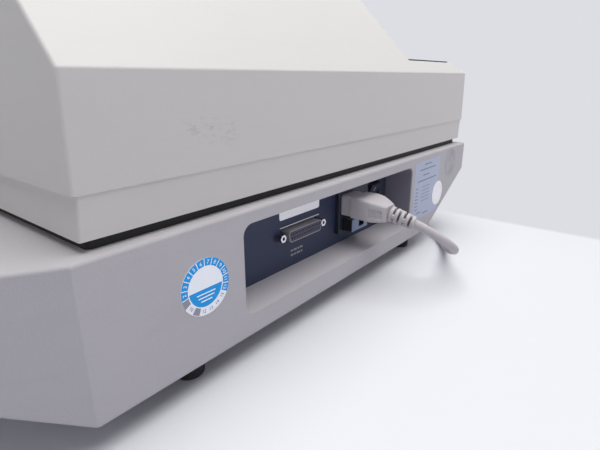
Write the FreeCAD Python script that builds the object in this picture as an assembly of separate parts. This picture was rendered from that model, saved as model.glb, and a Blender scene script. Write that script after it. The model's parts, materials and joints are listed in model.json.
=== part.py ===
import FreeCAD, Part
import math
import os

# Bench thermal cycler: a low base with upswept undersides, an upper case with a humped
# sample side and a sloping control side, a lid that presses a heated plate on the tubes,
# and a connector bay in the rear face.  Millimetres.  +X is the operator's right, -Y the
# operator, +Z up; the origin is on the table, under the middle of the base.

Vec = FreeCAD.Vector

# ---------------------------------------------------------------- driving dimensions
base_width = 522.5
base_depth = 370.0
rim_height = 94.1
base_bottom = 15.4
side_bottom = 65.0
flat_width = 346.2
facet_width = 87.15
facet_depth = 50.3
base_wall = 4.0
base_round = 2.0

rear_y = base_depth / 2
bay_left, bay_right = -131.5, 81.8
bay_low, bay_high = 30.0, 85.9
bay_depth = 25.7
bay_wall = 3.0
panel_thick = 2.0
panel_face_y = rear_y - bay_depth

case_rear_y = 180.3
case_front_y = -168.0
case_left, case_right = -256.7, 167.3
case_bottom = 99.2
groove_height = 118.8
case_wall = 3.5
cover_round = 1.8
band_round = 1.2
band_end_top, band_end_foot = 2.3, 0.9
band_face_top, band_face_foot = 0.6, 1.6
neck_set_back, neck_wall = 5.0, 8.0
rear_edge_height = 166.4
shelf_height = 176.4
console_front_height = 139.0
hump_left = -139.0
hump_top = 238.0
hump_crest_y = case_rear_y - (hump_top - rear_edge_height)
hump_front_y = -72.0
hump_foot_y = -120.0
left_draft = 3.6 / 47.6
right_draft = 1.8 / 47.6

lid_x, lid_y = 12.0, 2.0
lid_length, lid_width = 240.0, 156.0
lid_bottom, lid_top = 238.4, 262.0
lid_wall = 3.0
hinge_y, hinge_z = 88.0, 247.0
hinge_offsets = (-78.0, 78.0)
pin_radius = 3.0
running_gap = 0.05

block_length, block_width = 126.0, 88.0
block_top, block_bottom = 200.0, 160.0
well_columns, well_rows = 6, 4
well_pitch = 20.0
well_radius = 5.5
plate_bottom, plate_top = 212.0, 224.0

console_run = case_rear_y - (shelf_height - rear_edge_height) - case_front_y
console_tilt = math.degrees(math.atan((shelf_height - console_front_height) / console_run))
panel_left, panel_right = -234.5, -140.0
panel_x = (panel_left + panel_right) / 2
panel_rise = 1.5
key_columns, key_rows = 4, 4
key_pitch_x, key_pitch_y = 21.0, 22.0
key_length, key_width = 15.0, 13.0
key_travel = 2.0
first_key_row = -170.0
board_low = -14.0
board_thick = 1.6
switch_height = 0.6

serial_z = 56.8
jack_spacing = 47.04
inlet_left, inlet_right = -122.5, -45.8
inlet_low, inlet_high = 40.3, 83.0
inlet_flange = 4.0
socket_x, socket_z = -60.2, 64.5
nose_length, nose_depth = 8.7, 12.0
blade_clearance = 0.3
switch_x, switch_z = -99.5, 65.4
switch_pivot_depth, switch_throw = 2.5, 20.0
trunnion_radius = 1.6
drawer_x, drawer_z = -63.6, 48.1
drawer_length, drawer_height = 24.2, 10.8
drawer_front = -12.7
fuse_radius, fuse_length = 2.6, 20.0

foot_places = [(110.5, 165.0), (-154.5, 165.0), (110.5, -98.0), (-154.5, -98.0)]
foot_recess = 8.9
foot_screw_radius = 1.6

cord_diameter = 7.0
coil_x, coil_y = -283.0, 60.0
coil_radius = 38.0
coil_height = 25.0
coil_thickness = 15.0


# ---------------------------------------------------------------- shared shapes
def box(x0, x1, y0, y1, z0, z1):
    return Part.makeBox(x1 - x0, y1 - y0, z1 - z0, Vec(x0, y0, z0))


def polygon_face(points):
    return Part.Face(Part.makePolygon(points + [points[0]]))


def prism(points, run, inset=0.0):
    """Extrude a closed outline along run, the outline drawn in by inset."""
    face = polygon_face(points)
    if inset:
        face = face.makeOffset2D(-inset, 2)
    return face.extrude(run)


def rounded_rect(x0, x1, y0, y1, z, radius):
    """Wire of a level rectangle with rounded corners."""
    k = radius * (1 - math.sqrt(0.5))
    edges = [
        Part.makeLine(Vec(x0 + radius, y0, z), Vec(x1 - radius, y0, z)),
        Part.Arc(Vec(x1 - radius, y0, z), Vec(x1 - k, y0 + k, z), Vec(x1, y0 + radius, z)).toShape(),
        Part.makeLine(Vec(x1, y0 + radius, z), Vec(x1, y1 - radius, z)),
        Part.Arc(Vec(x1, y1 - radius, z), Vec(x1 - k, y1 - k, z), Vec(x1 - radius, y1, z)).toShape(),
        Part.makeLine(Vec(x1 - radius, y1, z), Vec(x0 + radius, y1, z)),
        Part.Arc(Vec(x0 + radius, y1, z), Vec(x0 + k, y1 - k, z), Vec(x0, y1 - radius, z)).toShape(),
        Part.makeLine(Vec(x0, y1 - radius, z), Vec(x0, y0 + radius, z)),
        Part.Arc(Vec(x0, y0 + radius, z), Vec(x0 + k, y0 + k, z), Vec(x0 + radius, y0, z)).toShape(),
    ]
    return Part.Wire(edges)


def rounded_block(x0, x1, y0, y1, z0, z1, radius):
    """Upright block with rounded vertical corners."""
    return Part.Face(rounded_rect(x0, x1, y0, y1, z0, radius)).extrude(Vec(0, 0, z1 - z0))


def tapered_block(low, high, radius):
    """Loft between two level rounded rectangles, each (x0, x1, y0, y1, z)."""
    return Part.makeLoft([rounded_rect(*low, radius), rounded_rect(*high, radius)], True)


def cylinder(radius, start, end):
    run = end - start
    return Part.makeCylinder(radius, run.Length, start, run)


def fuse(shapes):
    first, rest = shapes[0], shapes[1:]
    return first.fuse(rest).removeSplitter() if rest else first


def standing(shape, y):
    """Stand a shape drawn as (x, height, depth into the object) up at the upright plane y."""
    turned = shape.copy()
    turned.rotate(Vec(0, 0, 0), Vec(1, 0, 0), 90)
    turned.translate(Vec(0, y, 0))
    return turned


def on_console(shape):
    """Carry a shape drawn flat onto the sloping control side; y = 0 is its rear edge."""
    placed = shape.copy()
    placed.rotate(Vec(0, 0, 0), Vec(1, 0, 0), console_tilt)
    placed.translate(Vec(0, case_rear_y - (shelf_height - rear_edge_height), shelf_height))
    return placed


def rounded(shape, radius, keep):
    """Round the edges whose middle point passes the test keep."""
    return shape.makeFillet(radius, [edge for edge in shape.Edges if keep(edge.CenterOfMass)])


def write(name, shape):
    shape.exportStep(f"parts/{name}.step")


# ---------------------------------------------------------------- base
def base_plan(inset, height):
    """The base's plan, three of its corners cut off, as a block up to a height."""
    half = base_width / 2
    cut_x = half - facet_width
    cut_y = rear_y - facet_depth
    plan = [Vec(-half, rear_y, 0), Vec(cut_x, rear_y, 0), Vec(half, cut_y, 0),
            Vec(half, -cut_y, 0), Vec(cut_x, -rear_y, 0), Vec(-cut_x, -rear_y, 0),
            Vec(-half, -cut_y, 0)]
    return prism(plan, Vec(0, 0, height), inset)


def base_form(inset):
    """The base's outer form, or its cavity: elevation, side profile and plan in common."""
    half = base_width / 2
    flat = flat_width / 2
    elevation = [Vec(-flat, -rear_y, base_bottom), Vec(flat, -rear_y, base_bottom),
                 Vec(half, -rear_y, side_bottom), Vec(half, -rear_y, rim_height),
                 Vec(-half, -rear_y, rim_height), Vec(-half, -rear_y, side_bottom)]
    profile = [Vec(-half, rear_y, base_bottom), Vec(-half, rear_y, rim_height),
               Vec(-half, -rear_y, rim_height), Vec(-half, -rear_y, 52.0),
               Vec(-half, -120.0, base_bottom)]
    along_y = prism(elevation, Vec(0, base_depth, 0), inset)
    along_x = prism(profile, Vec(base_width, 0, 0), inset)
    return along_y.common(along_x).common(base_plan(inset, rim_height))


def bay_form(grow, front, back):
    """The connector bay, its walls drawn in a little towards the panel."""
    def mouth(y, draw_in):
        return standing(rounded_rect(bay_left - grow + draw_in, bay_right + grow - draw_in,
                                     bay_low - grow + draw_in / 3, bay_high + grow - draw_in / 3,
                                     0, 7.0 + grow), y)
    return Part.makeLoft([mouth(front, 0.0), mouth(back, 3.5)], True)


def deck_vents():
    slots = []
    for i in range(14):
        y = -78.0 + 9.0 * i
        slots.append(rounded_block(192, 240, y, y + 3.4, rim_height - 8, rim_height + 1, 1.6))
    return slots


def base_housing():
    outer = base_form(0.0)
    outer = outer.makeFillet(base_round, outer.Edges)
    shell = outer.cut(base_form(base_wall))
    shell = shell.fuse(bay_form(bay_wall, rear_y - 1.0, panel_face_y))
    cuts = [bay_form(0.0, rear_y + 1.0, panel_face_y - 1.0),
            rounded_block(-167, 160, -111, 176, base_bottom - 1, base_bottom + base_wall + 1, 8),
            rounded_block(-228, 138, -140, 150, rim_height - base_wall - 1, rim_height + 1, 10)]
    return shell.cut(cuts + deck_vents())


def base_plate():
    top = base_bottom + base_wall
    plate = rounded_block(-171, 164, -115, 178, top, top + 1.5, 10)
    slots = []
    for column in range(2):
        for row in range(12):
            x = -58 + 76 * column
            y = -56 + 10 * row
            slots.append(rounded_block(x, x + 64, y, y + 3.6, top - 1, top + 3, 1.7))
    return plate.cut(slots)


def rubber_feet():
    top = base_bottom + base_wall
    feet = []
    for x, y in foot_places:
        foot = Part.makeCone(9.0, 10.5, top, Vec(x, y, 0), Vec(0, 0, 1))
        foot = rounded(foot, 1.5, lambda c: c.z < 0.1)
        recess = Part.makeCylinder(4.0, foot_recess, Vec(x, y, 0))
        bore = Part.makeCylinder(foot_screw_radius, top, Vec(x, y, 0))
        feet.append(foot.cut([recess, bore]))
    return Part.makeCompound(feet)


def foot_screws():
    """Slotted screws, their heads up in the feet's recesses."""
    screws = []
    for x, y in foot_places:
        head = Part.makeCylinder(3.6, 2.4, Vec(x, y, foot_recess - 2.4))
        slot = box(x - 4, x + 4, y - 0.6, y + 0.6, foot_recess - 3, foot_recess - 1.4)
        shank = Part.makeCylinder(foot_screw_radius, base_bottom + base_wall - foot_recess,
                                  Vec(x, y, foot_recess))
        screws.append(head.cut(slot).fuse(shank).removeSplitter())
    return Part.makeCompound(screws)


def neck_ring():
    """Dark spacer between base and case, set back from both and following the base's cut corner."""
    def form(case_inset, plan_inset):
        block = rounded_block(case_left + case_inset, case_right - case_inset,
                              case_front_y + case_inset, case_rear_y - case_inset,
                              rim_height, case_bottom, 3)
        return block.common(base_plan(plan_inset, case_bottom))
    return form(neck_set_back, 3.0).cut(form(neck_set_back + neck_wall, 7.5))


# ---------------------------------------------------------------- upper case
def band_form(inset, low, high):
    """The lower band, set back under the cover: its ends lean out and its faces in going down."""
    def outline(z):
        down = (groove_height - z) / (groove_height - case_bottom)
        end = band_end_top + (band_end_foot - band_end_top) * down + inset
        face = band_face_top + (band_face_foot - band_face_top) * down + inset
        return (case_left + end, case_right - end, case_front_y + face, case_rear_y - face, z)
    return tapered_block(outline(low), outline(high), band_round)


def lower_band():
    outer = band_form(0.0, case_bottom, groove_height)
    inner = band_form(case_wall, case_bottom + 3.0, groove_height + 1.0)
    floor = rounded_block(case_left + 26, case_right - 25, case_front_y + 25, case_rear_y - 25,
                          case_bottom - 1, case_bottom + 4, 8)
    return outer.cut([inner, floor])


def cover_block(inset, low, high):
    """The cover's elevation, its sides drawn in going up, run from front to rear."""
    y = case_front_y + inset
    points = []
    for z in (low, high):
        rise = z - groove_height
        points.append((Vec(case_left + left_draft * rise + inset, y, z),
                       Vec(case_right - right_draft * rise - inset, y, z)))
    (low_left, low_right), (high_left, high_right) = points
    run = Vec(0, case_rear_y - case_front_y - 2 * inset, 0)
    return prism([low_left, low_right, high_right, high_left], run)


def console_form(inset, low):
    x0 = case_left - 5
    slope_start = case_rear_y - (shelf_height - rear_edge_height)
    profile = [Vec(x0, case_rear_y, low - 20), Vec(x0, case_rear_y, rear_edge_height),
               Vec(x0, slope_start, shelf_height), Vec(x0, case_front_y, console_front_height),
               Vec(x0, case_front_y, low - 20)]
    body = prism(profile, Vec(case_right - case_left + 10, 0, 0), inset)
    bevel = polygon_face([Vec(panel_left, 20, inset * -1.05), Vec(panel_left, 20, 30),
                          Vec(panel_left - 60, 20, 30), Vec(panel_left - 60, 20, -32.6 - inset * 1.05)])
    bevel = on_console(bevel.extrude(Vec(0, -400, 0)))
    return body.cut(bevel).common(cover_block(inset, low, 250))


def hump_form(inset, low):
    x0 = hump_left
    profile = [Vec(x0, case_rear_y, low - 20), Vec(x0, case_rear_y, rear_edge_height),
               Vec(x0, hump_crest_y, hump_top), Vec(x0, hump_front_y, hump_top),
               Vec(x0, hump_foot_y, 140.0), Vec(x0, hump_foot_y, low - 20)]
    body = prism(profile, Vec(case_right - hump_left + 5, 0, 0), inset)
    if inset:
        body = body.common(box(hump_left + inset, 400, -400, 400, 0, 400))
    return body.common(cover_block(inset, low, 250))


def top_cover():
    console = rounded(console_form(0.0, groove_height), cover_round, lambda c: c.z > groove_height + 0.1)
    hump = rounded(hump_form(0.0, groove_height), cover_round,
                   lambda c: c.z > groove_height + 0.1 and not (c.x < hump_left + 1 and c.y < -119))
    outer = console.fuse(hump)
    low = groove_height - 5
    inner = console_form(case_wall, low).fuse(hump_form(case_wall, low))
    shell = outer.cut(inner)
    lid_well = rounded_block(lid_x - 108, lid_x + 108, lid_y - 60, lid_y + 70, hump_top - 8, hump_top + 8, 12)
    keypad = on_console(box(panel_left + 4.2, panel_right - 4.2, -252, -88, -12, 6))
    shell = shell.cut([lid_well, keypad])
    posts = []
    for x in (panel_left + 14, panel_right - 14):
        for y in (-82, -258):
            posts.append(on_console(Part.makeCylinder(3.0, 9.9, Vec(x, y, board_low + board_thick))))
    return fuse([shell] + posts)


def compartment_liner():
    """Funnel from the lid opening down to the sample block, with a flange under the cover."""
    cover_under = hump_top - case_wall
    x0, x1, y0, y1 = lid_x - 108, lid_x + 108, lid_y - 60, lid_y + 70
    wall = 2.5
    throat = 196.0
    tx, ty = block_length / 2 + 12, block_width / 2 + 12
    outer = tapered_block((lid_x - tx - wall, lid_x + tx + wall, lid_y - ty - wall, lid_y + ty + wall,
                           throat - wall), (x0 - wall, x1 + wall, y0 - wall, y1 + wall, cover_under), 10)
    inner = tapered_block((lid_x - tx, lid_x + tx, lid_y - ty, lid_y + ty, throat),
                          (x0, x1, y0, y1, cover_under + 0.1), 9)
    flange = rounded_block(x0 - 9, x1 + 9, y0 - 9, y1 + 9, cover_under - wall, cover_under, 14)
    gap = 0.8
    hole = box(lid_x - block_length / 2 - gap, lid_x + block_length / 2 + gap,
               lid_y - block_width / 2 - gap, lid_y + block_width / 2 + gap, 180, 198)
    return outer.fuse(flange).cut([inner, hole])


# ---------------------------------------------------------------- sample block and cooling
def well(x, y):
    """A tapered well for a tube: straight mouth, cone and round tip, turned as one profile."""
    straight, depth, tip = 15.0, 34.0, 2.2
    tip_z = block_top - depth
    profile = [
        Part.makeLine(Vec(0, 0, block_top + 1), Vec(well_radius, 0, block_top + 1)),
        Part.makeLine(Vec(well_radius, 0, block_top + 1), Vec(well_radius, 0, block_top - straight)),
        Part.makeLine(Vec(well_radius, 0, block_top - straight), Vec(tip, 0, tip_z + tip)),
        Part.Arc(Vec(tip, 0, tip_z + tip), Vec(tip * math.sqrt(0.5), 0, tip_z + tip * (1 - math.sqrt(0.5))),
                 Vec(0, 0, tip_z)).toShape(),
        Part.makeLine(Vec(0, 0, tip_z), Vec(0, 0, block_top + 1)),
    ]
    turned = Part.Face(Part.Wire(profile)).revolve(Vec(0, 0, 0), Vec(0, 0, 1), 360)
    turned.translate(Vec(x, y, 0))
    return turned


def well_places():
    places = []
    for column in range(well_columns):
        for row in range(well_rows):
            x = lid_x + (column - (well_columns - 1) / 2) * well_pitch
            y = lid_y + (row - (well_rows - 1) / 2) * well_pitch
            places.append((x, y))
    return places


def sample_block():
    body = rounded_block(lid_x - block_length / 2, lid_x + block_length / 2,
                         lid_y - block_width / 2, lid_y + block_width / 2,
                         block_bottom, block_top, 4)
    return body.cut([well(x, y) for x, y in well_places()])


def peltier_modules():
    modules = []
    for i in (-1, 0, 1):
        for j in (-0.5, 0.5):
            x = lid_x + 41 * i
            y = lid_y + 42 * j
            modules.append(box(x - 20, x + 20, y - 20, y + 20, block_bottom - 4, block_bottom))
    return Part.makeCompound(modules)


def heat_sink():
    top = block_bottom - 4
    plate = box(lid_x - 82, lid_x + 82, lid_y - 60, lid_y + 60, top - 9, top)
    fins = []
    for i in range(19):
        x = lid_x - 58 + 116 / 18 * i
        fins.append(box(x - 0.9, x + 0.9, lid_y - 60, lid_y + 60, top - 42, top - 9))
    return fuse([plate] + fins)


def fan_frame():
    top = block_bottom - 46
    low = top - 25
    frame = rounded_block(lid_x - 60, lid_x + 60, lid_y - 60, lid_y + 60, low, top, 6)
    frame = frame.cut(Part.makeCylinder(57.0, 40, Vec(lid_x, lid_y, low - 5)))
    hub = Part.makeCylinder(17.0, 3.0, Vec(lid_x, lid_y, low))
    arms = []
    for i in range(4):
        arm = box(0, 58, -2.5, 2.5, low, low + 3)
        arm.rotate(Vec(0, 0, 0), Vec(0, 0, 1), 45 + 90 * i)
        arm.translate(Vec(lid_x, lid_y, 0))
        arms.append(arm)
    pin = Part.makeCylinder(2.0, 16.0, Vec(lid_x, lid_y, low + 3))
    return fuse([frame, hub, pin] + arms)


def fan_rotor():
    top = block_bottom - 46
    low = top - 25 + 3.6
    hub = Part.makeCylinder(20.0, 19.0, Vec(lid_x, lid_y, low))
    hub = rounded(hub, 2.0, lambda c: c.z > low + 18)
    blades = []
    for i in range(7):
        root = Part.makePolygon([Vec(17, -9, low + 2), Vec(17, 9, low + 15),
                                 Vec(17, 9.6, low + 16.6), Vec(17, -8.4, low + 3.6), Vec(17, -9, low + 2)])
        tip = Part.makePolygon([Vec(53, -19, low + 4), Vec(53, 13, low + 14),
                                Vec(53, 13.4, low + 15.4), Vec(53, -18.6, low + 5.4), Vec(53, -19, low + 4)])
        blade = Part.makeLoft([root, tip], True)
        blade.rotate(Vec(0, 0, 0), Vec(0, 0, 1), 360 / 7 * i)
        blade.translate(Vec(lid_x, lid_y, 0))
        blades.append(blade)
    rotor = fuse([hub] + blades)
    return rotor.cut(Part.makeCylinder(2.0 + running_gap, 17.0, Vec(lid_x, lid_y, low - 1)))


def chassis():
    """Folded steel cradle from the base plate up to the heat sink's plate."""
    low = base_bottom + base_wall + 1.5
    high = block_bottom - 13
    sides = []
    for side in (-1, 1):
        x = lid_x + 80 * side
        wall = box(x - 1, x + 1, lid_y - 50, lid_y + 50, low, high)
        window = rounded_block(-30, 30, -40, 40, -5, 5, 8)
        window.rotate(Vec(0, 0, 0), Vec(0, 1, 0), 90)
        window.translate(Vec(x, lid_y, (low + high) / 2))
        foot = box(min(x, x + 14 * side), max(x, x + 14 * side), lid_y - 50, lid_y + 50, low, low + 2)
        head = box(min(x, x - 14 * side), max(x, x - 14 * side), lid_y - 50, lid_y + 50, high - 2, high)
        sides.append(wall.cut(window).fuse([foot, head]).removeSplitter())
    return Part.makeCompound(sides)


def power_supply():
    low = base_bottom + base_wall + 1.5
    case = box(-160, -86, -96, 96, low, low + 52)
    case = rounded(case, 2.0, lambda c: c.z > low + 51)
    slots = []
    for i in range(9):
        y = -72 + 18 * i
        slots.append(box(-150, -96, y - 2, y + 2, low + 48, low + 53))
    return case.cut(slots)


def control_board():
    low = base_bottom + base_wall + 1.5
    board = box(104, 158, -96, 120, low + 8, low + 9.6)
    posts = [Part.makeCylinder(3.0, 8.0, Vec(x, y, low)) for x in (109, 153) for y in (-90, 114)]
    chips = [box(112, 132, -70 + 34 * i, -48 + 34 * i, low + 9.6, low + 13) for i in range(5)]
    sockets = [box(140, 148, -70 + 50 * i, -40 + 50 * i, low + 9.6, low + 18) for i in range(4)]
    return fuse([board] + posts + chips + sockets)


# ---------------------------------------------------------------- lid
def hinge_bases():
    bases = []
    for offset in hinge_offsets:
        x = lid_x + offset
        plate = box(x - 20, x + 20, hinge_y - 7, hinge_y + 12, hump_top, hump_top + 2.2)
        ears = []
        for side in (-1, 1):
            x0 = x + side * 13.5
            start, end = Vec(x0 - 5.5, hinge_y, hinge_z), Vec(x0 + 5.5, hinge_y, hinge_z)
            ears.append(cylinder(6.0, start, end))
            ears.append(box(x0 - 5.5, x0 + 5.5, hinge_y - 6, hinge_y + 6, hump_top + 1, hinge_z))
        base = fuse([plate] + ears)
        bore = cylinder(pin_radius, Vec(x - 25, hinge_y, hinge_z), Vec(x + 25, hinge_y, hinge_z))
        bases.append(base.cut(bore))
    return Part.makeCompound(bases)


def hinge_leaves():
    leaves = []
    for offset in hinge_offsets:
        x = lid_x + offset
        start, end = Vec(x - 7.6, hinge_y, hinge_z), Vec(x + 7.6, hinge_y, hinge_z)
        leaf = cylinder(6.0, start, end)
        arm = box(x - 7.6, x + 7.6, lid_y + lid_width / 2, hinge_y, hinge_z - 4, hinge_z + 6)
        pad = box(x - 16, x + 16, lid_y + lid_width / 2, lid_y + lid_width / 2 + 2, hinge_z - 5, hinge_z + 7)
        bore = cylinder(pin_radius + running_gap, Vec(x - 9, hinge_y, hinge_z), Vec(x + 9, hinge_y, hinge_z))
        leaves.append(fuse([leaf, arm, pad]).cut(bore))
    return Part.makeCompound(leaves)


def hinge_pins():
    pins = []
    for offset in hinge_offsets:
        x = lid_x + offset
        pins.append(cylinder(pin_radius, Vec(x - 20, hinge_y, hinge_z), Vec(x + 20, hinge_y, hinge_z)))
    return Part.makeCompound(pins)


def lid_shell():
    x0, x1 = lid_x - lid_length / 2, lid_x + lid_length / 2
    y0, y1 = lid_y - lid_width / 2, lid_y + lid_width / 2
    outer = rounded_block(x0, x1, y0, y1, lid_bottom, lid_top, 16)
    outer = rounded(outer, 8.0, lambda c: c.z > lid_top - 0.1)
    grip = rounded_block(lid_x - 48, lid_x + 48, y0 - 13, y0 + 20, lid_top - 15, lid_top - 5, 10)
    grip = rounded(grip, 3.0, lambda c: c.y < y0 + 5)
    inner = rounded_block(x0 + lid_wall, x1 - lid_wall, y0 + lid_wall, y1 - lid_wall,
                          lid_bottom - 1, lid_top - lid_wall, 13)
    inner = rounded(inner, 5.0, lambda c: c.z > lid_top - lid_wall - 0.1)
    boss = Part.makeCylinder(11.0, 14.0, Vec(lid_x, lid_y, lid_top - 14))
    seat = Part.makeCylinder(31.5, 1.2, Vec(lid_x, lid_y, lid_top - 1.2))
    bore = Part.makeCylinder(5.0 + running_gap, 40.0, Vec(lid_x, lid_y, lid_top - 25))
    return outer.fuse(grip).cut(inner).fuse(boss).cut([seat, bore])


def guide_places():
    return [(lid_x + 54 * i, lid_y + 34 * j) for i in (-1, 1) for j in (-1, 1)]


def lid_liner():
    x0, x1 = lid_x - lid_length / 2 + lid_wall, lid_x + lid_length / 2 - lid_wall
    y0, y1 = lid_y - lid_width / 2 + lid_wall, lid_y + lid_width / 2 - lid_wall
    plate = rounded_block(x0, x1, y0, y1, lid_bottom, lid_bottom + 3, 13)
    bosses = [Part.makeCylinder(6.5, 11.0, Vec(x, y, lid_bottom)) for x, y in guide_places()]
    plate = fuse([plate] + bosses)
    holes = [Part.makeCylinder(3.0 + running_gap, 20.0, Vec(x, y, lid_bottom - 1)) for x, y in guide_places()]
    centre = Part.makeCylinder(12.5, 10.0, Vec(lid_x, lid_y, lid_bottom - 1))
    return plate.cut(holes + [centre])


def heated_plate():
    body = rounded_block(lid_x - 66, lid_x + 66, lid_y - 47, lid_y + 47, plate_bottom, plate_top, 6)
    pins = [Part.makeCylinder(3.0, 26.0, Vec(x, y, plate_top)) for x, y in guide_places()]
    nut = Part.makeCylinder(11.0, 20.0, Vec(lid_x, lid_y, plate_top))
    bore = Part.makeCylinder(5.0 + running_gap, 20.0, Vec(lid_x, lid_y, plate_top + 1))
    recess = rounded_block(lid_x - 60, lid_x + 60, lid_y - 41, lid_y + 41,
                           plate_bottom - 1, plate_bottom + 1.5, 4)
    return fuse([body, nut] + pins).cut([bore, recess])


def lid_knob():
    low = lid_top - 0.8
    body = Part.makeCone(30.0, 27.0, 20.0, Vec(lid_x, lid_y, low))
    body = rounded(body, 3.0, lambda c: c.z > low + 19)
    flutes = []
    for i in range(12):
        angle = math.radians(30 * i)
        x, y = lid_x + 32.5 * math.cos(angle), lid_y + 32.5 * math.sin(angle)
        flutes.append(Part.makeCylinder(5.5, 30.0, Vec(x, y, low + 4)))
    return body.cut(flutes)


def knob_spindle():
    return Part.makeCylinder(5.0, lid_top - 0.8 - 228.0, Vec(lid_x, lid_y, 228.0))


# ---------------------------------------------------------------- control panel
def key_places():
    places = []
    for row in range(key_rows):
        for column in range(key_columns):
            x = panel_x + (column - (key_columns - 1) / 2) * key_pitch_x
            y = first_key_row - row * key_pitch_y
            places.append((x, y))
    return places


key_names = ["key_1", "key_2", "key_3", "key_up", "key_4", "key_5", "key_6", "key_down",
             "key_7", "key_8", "key_9", "key_start", "key_point", "key_0", "key_enter", "key_stop"]
light_offsets = (-28.0, 0.0, 28.0)
light_y = -150.0
window_length, window_width = 74.0, 34.0
window_y = -116.0


def control_panel():
    plate = rounded_block(panel_left, panel_right, -320, -2.5, 0, panel_rise, 4)
    cuts = [rounded_block(x - key_length / 2 - 0.4, x + key_length / 2 + 0.4,
                          y - key_width / 2 - 0.4, y + key_width / 2 + 0.4, -1, 3, 1.6)
            for x, y in key_places()]
    cuts.append(rounded_block(panel_x - window_length / 2, panel_x + window_length / 2,
                              window_y - window_width / 2, window_y + window_width / 2, -1, 3, 2))
    cuts += [Part.makeCylinder(2.5, 5, Vec(panel_x + dx, light_y, -1)) for dx in light_offsets]
    return on_console(plate.cut(cuts))


def display_window():
    return on_console(rounded_block(panel_x - window_length / 2, panel_x + window_length / 2,
                                    window_y - window_width / 2, window_y + window_width / 2,
                                    -0.3, 1.2, 2))


def display_module():
    low = board_low + board_thick
    body = box(panel_x - 38, panel_x + 38, window_y - 19, window_y + 19, low, -0.3)
    return on_console(body)


def indicator_lights():
    lights = []
    for dx in light_offsets:
        stem = Part.makeCylinder(2.5, panel_rise - board_low - board_thick,
                                 Vec(panel_x + dx, light_y, board_low + board_thick))
        dome = Part.makeSphere(2.5, Vec(panel_x + dx, light_y, panel_rise))
        above_panel = box(-400, 0, -400, 0, panel_rise, 10)
        lights.append(on_console(fuse([stem, dome.common(above_panel)])))
    return Part.makeCompound(lights)


def keypad_board():
    low = board_low
    board = box(panel_left + 6, panel_right - 6, -264, -76, low, low + board_thick)
    switches = [box(x - 4, x + 4, y - 4, y + 4, low + board_thick, low + board_thick + switch_height)
                for x, y in key_places()]
    return on_console(fuse([board] + switches))


def key(x, y):
    """A keycap with a dished top, a skirt that keeps it in, and its plunger."""
    cap = rounded_block(x - key_length / 2, x + key_length / 2, y - key_width / 2, y + key_width / 2,
                        -1.5, 4.0, 1.4)
    cap = rounded(cap, 0.8, lambda c: c.z > 3.9)
    dish = cylinder(60.0, Vec(x, y - 20, 63.1), Vec(x, y + 20, 63.1))
    skirt = box(x - key_length / 2 - 1.5, x + key_length / 2 + 1.5, y - key_width / 2 - 1.5,
                y + key_width / 2 + 1.5, -2.5, -0.6)
    low = board_low + board_thick + switch_height + key_travel + 0.6
    plunger = Part.makeCylinder(2.5, -2.2 - low, Vec(x, y, low))
    return on_console(fuse([cap.cut(dish), skirt, plunger]))


# ---------------------------------------------------------------- connector bay
def connector_panel():
    plate = rounded_block(bay_left - 2, bay_right + 3, bay_low - 3, bay_high + 3, 0, panel_thick, 3)
    inlet_hole = rounded_block(inlet_left + 3, inlet_right - 1.6, inlet_low + 1, inlet_high - 3, -1, 5, 0.5)
    serial_hole = rounded_block(-20.4, 20.4, serial_z - 5.4, serial_z + 5.4, -1, 5, 2)
    return standing(plate.cut([inlet_hole, serial_hole] + jack_holes()), panel_face_y)


def jack_holes():
    return [Part.makeCylinder(1.6, 5, Vec(side * jack_spacing / 2, serial_z, -1)) for side in (-1, 1)]


def d_outline(half_top, half_height, y, radius):
    """D-shaped wire, wide side up, in an upright plane."""
    slant = half_height * 2 * math.tan(math.radians(10))
    low, high = serial_z - half_height, serial_z + half_height
    corners = [Vec(-half_top + slant, y, low), Vec(half_top - slant, y, low),
               Vec(half_top, y, high), Vec(-half_top, y, high)]
    face = polygon_face(corners)
    solid = face.extrude(Vec(0, 1, 0))
    solid = solid.makeFillet(radius, [e for e in solid.Edges if abs(e.tangentAt(e.FirstParameter).y) > 0.9])
    return [f for f in solid.Faces if abs(f.CenterOfMass.y - y) < 1e-6][0]


def serial_shell():
    run = Vec(0, 8.0, 0)
    outer = d_outline(19.5, 4.3, panel_face_y - panel_thick, 2.4).extrude(run)
    inner = d_outline(18.9, 3.7, panel_face_y - panel_thick - 1, 1.9).extrude(Vec(0, 12, 0))
    flange = rounded_block(-26.5, 26.5, serial_z - 6.2, serial_z + 6.2, 0, 0.8, 1)
    flange = standing(flange.cut(jack_holes()), panel_face_y - panel_thick)
    return outer.fuse(flange).cut(inner)


def serial_insert():
    front = panel_face_y + 5.6
    core = d_outline(18.9, 3.7, panel_face_y - panel_thick - 9, 1.9).extrude(Vec(0, 16.6, 0))
    holes = []
    for count, z in ((13, serial_z + 1.42), (12, serial_z - 1.42)):
        for i in range(count):
            x = (i - (count - 1) / 2) * 2.77
            holes.append(cylinder(0.62, Vec(x, front - 3.0, z), Vec(x, front + 1, z)))
    return core.cut(holes)


def jack_screws():
    screws = []
    for side in (-1, 1):
        x = side * jack_spacing / 2
        points = [Vec(x + 2.9 * math.cos(math.radians(60 * i)), panel_face_y,
                      serial_z + 2.9 * math.sin(math.radians(60 * i))) for i in range(6)]
        post = polygon_face(points).extrude(Vec(0, 4.8, 0))
        shank = cylinder(1.55, Vec(x, panel_face_y - 7, serial_z), Vec(x, panel_face_y, serial_z))
        bore = cylinder(1.42, Vec(x, panel_face_y - 2, serial_z), Vec(x, panel_face_y + 6, serial_z))
        washer = cylinder(4.2, Vec(x, panel_face_y, serial_z), Vec(x, panel_face_y + 0.5, serial_z))
        screws.append(fuse([post, shank, washer]).cut(bore))
    return Part.makeCompound(screws)


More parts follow.
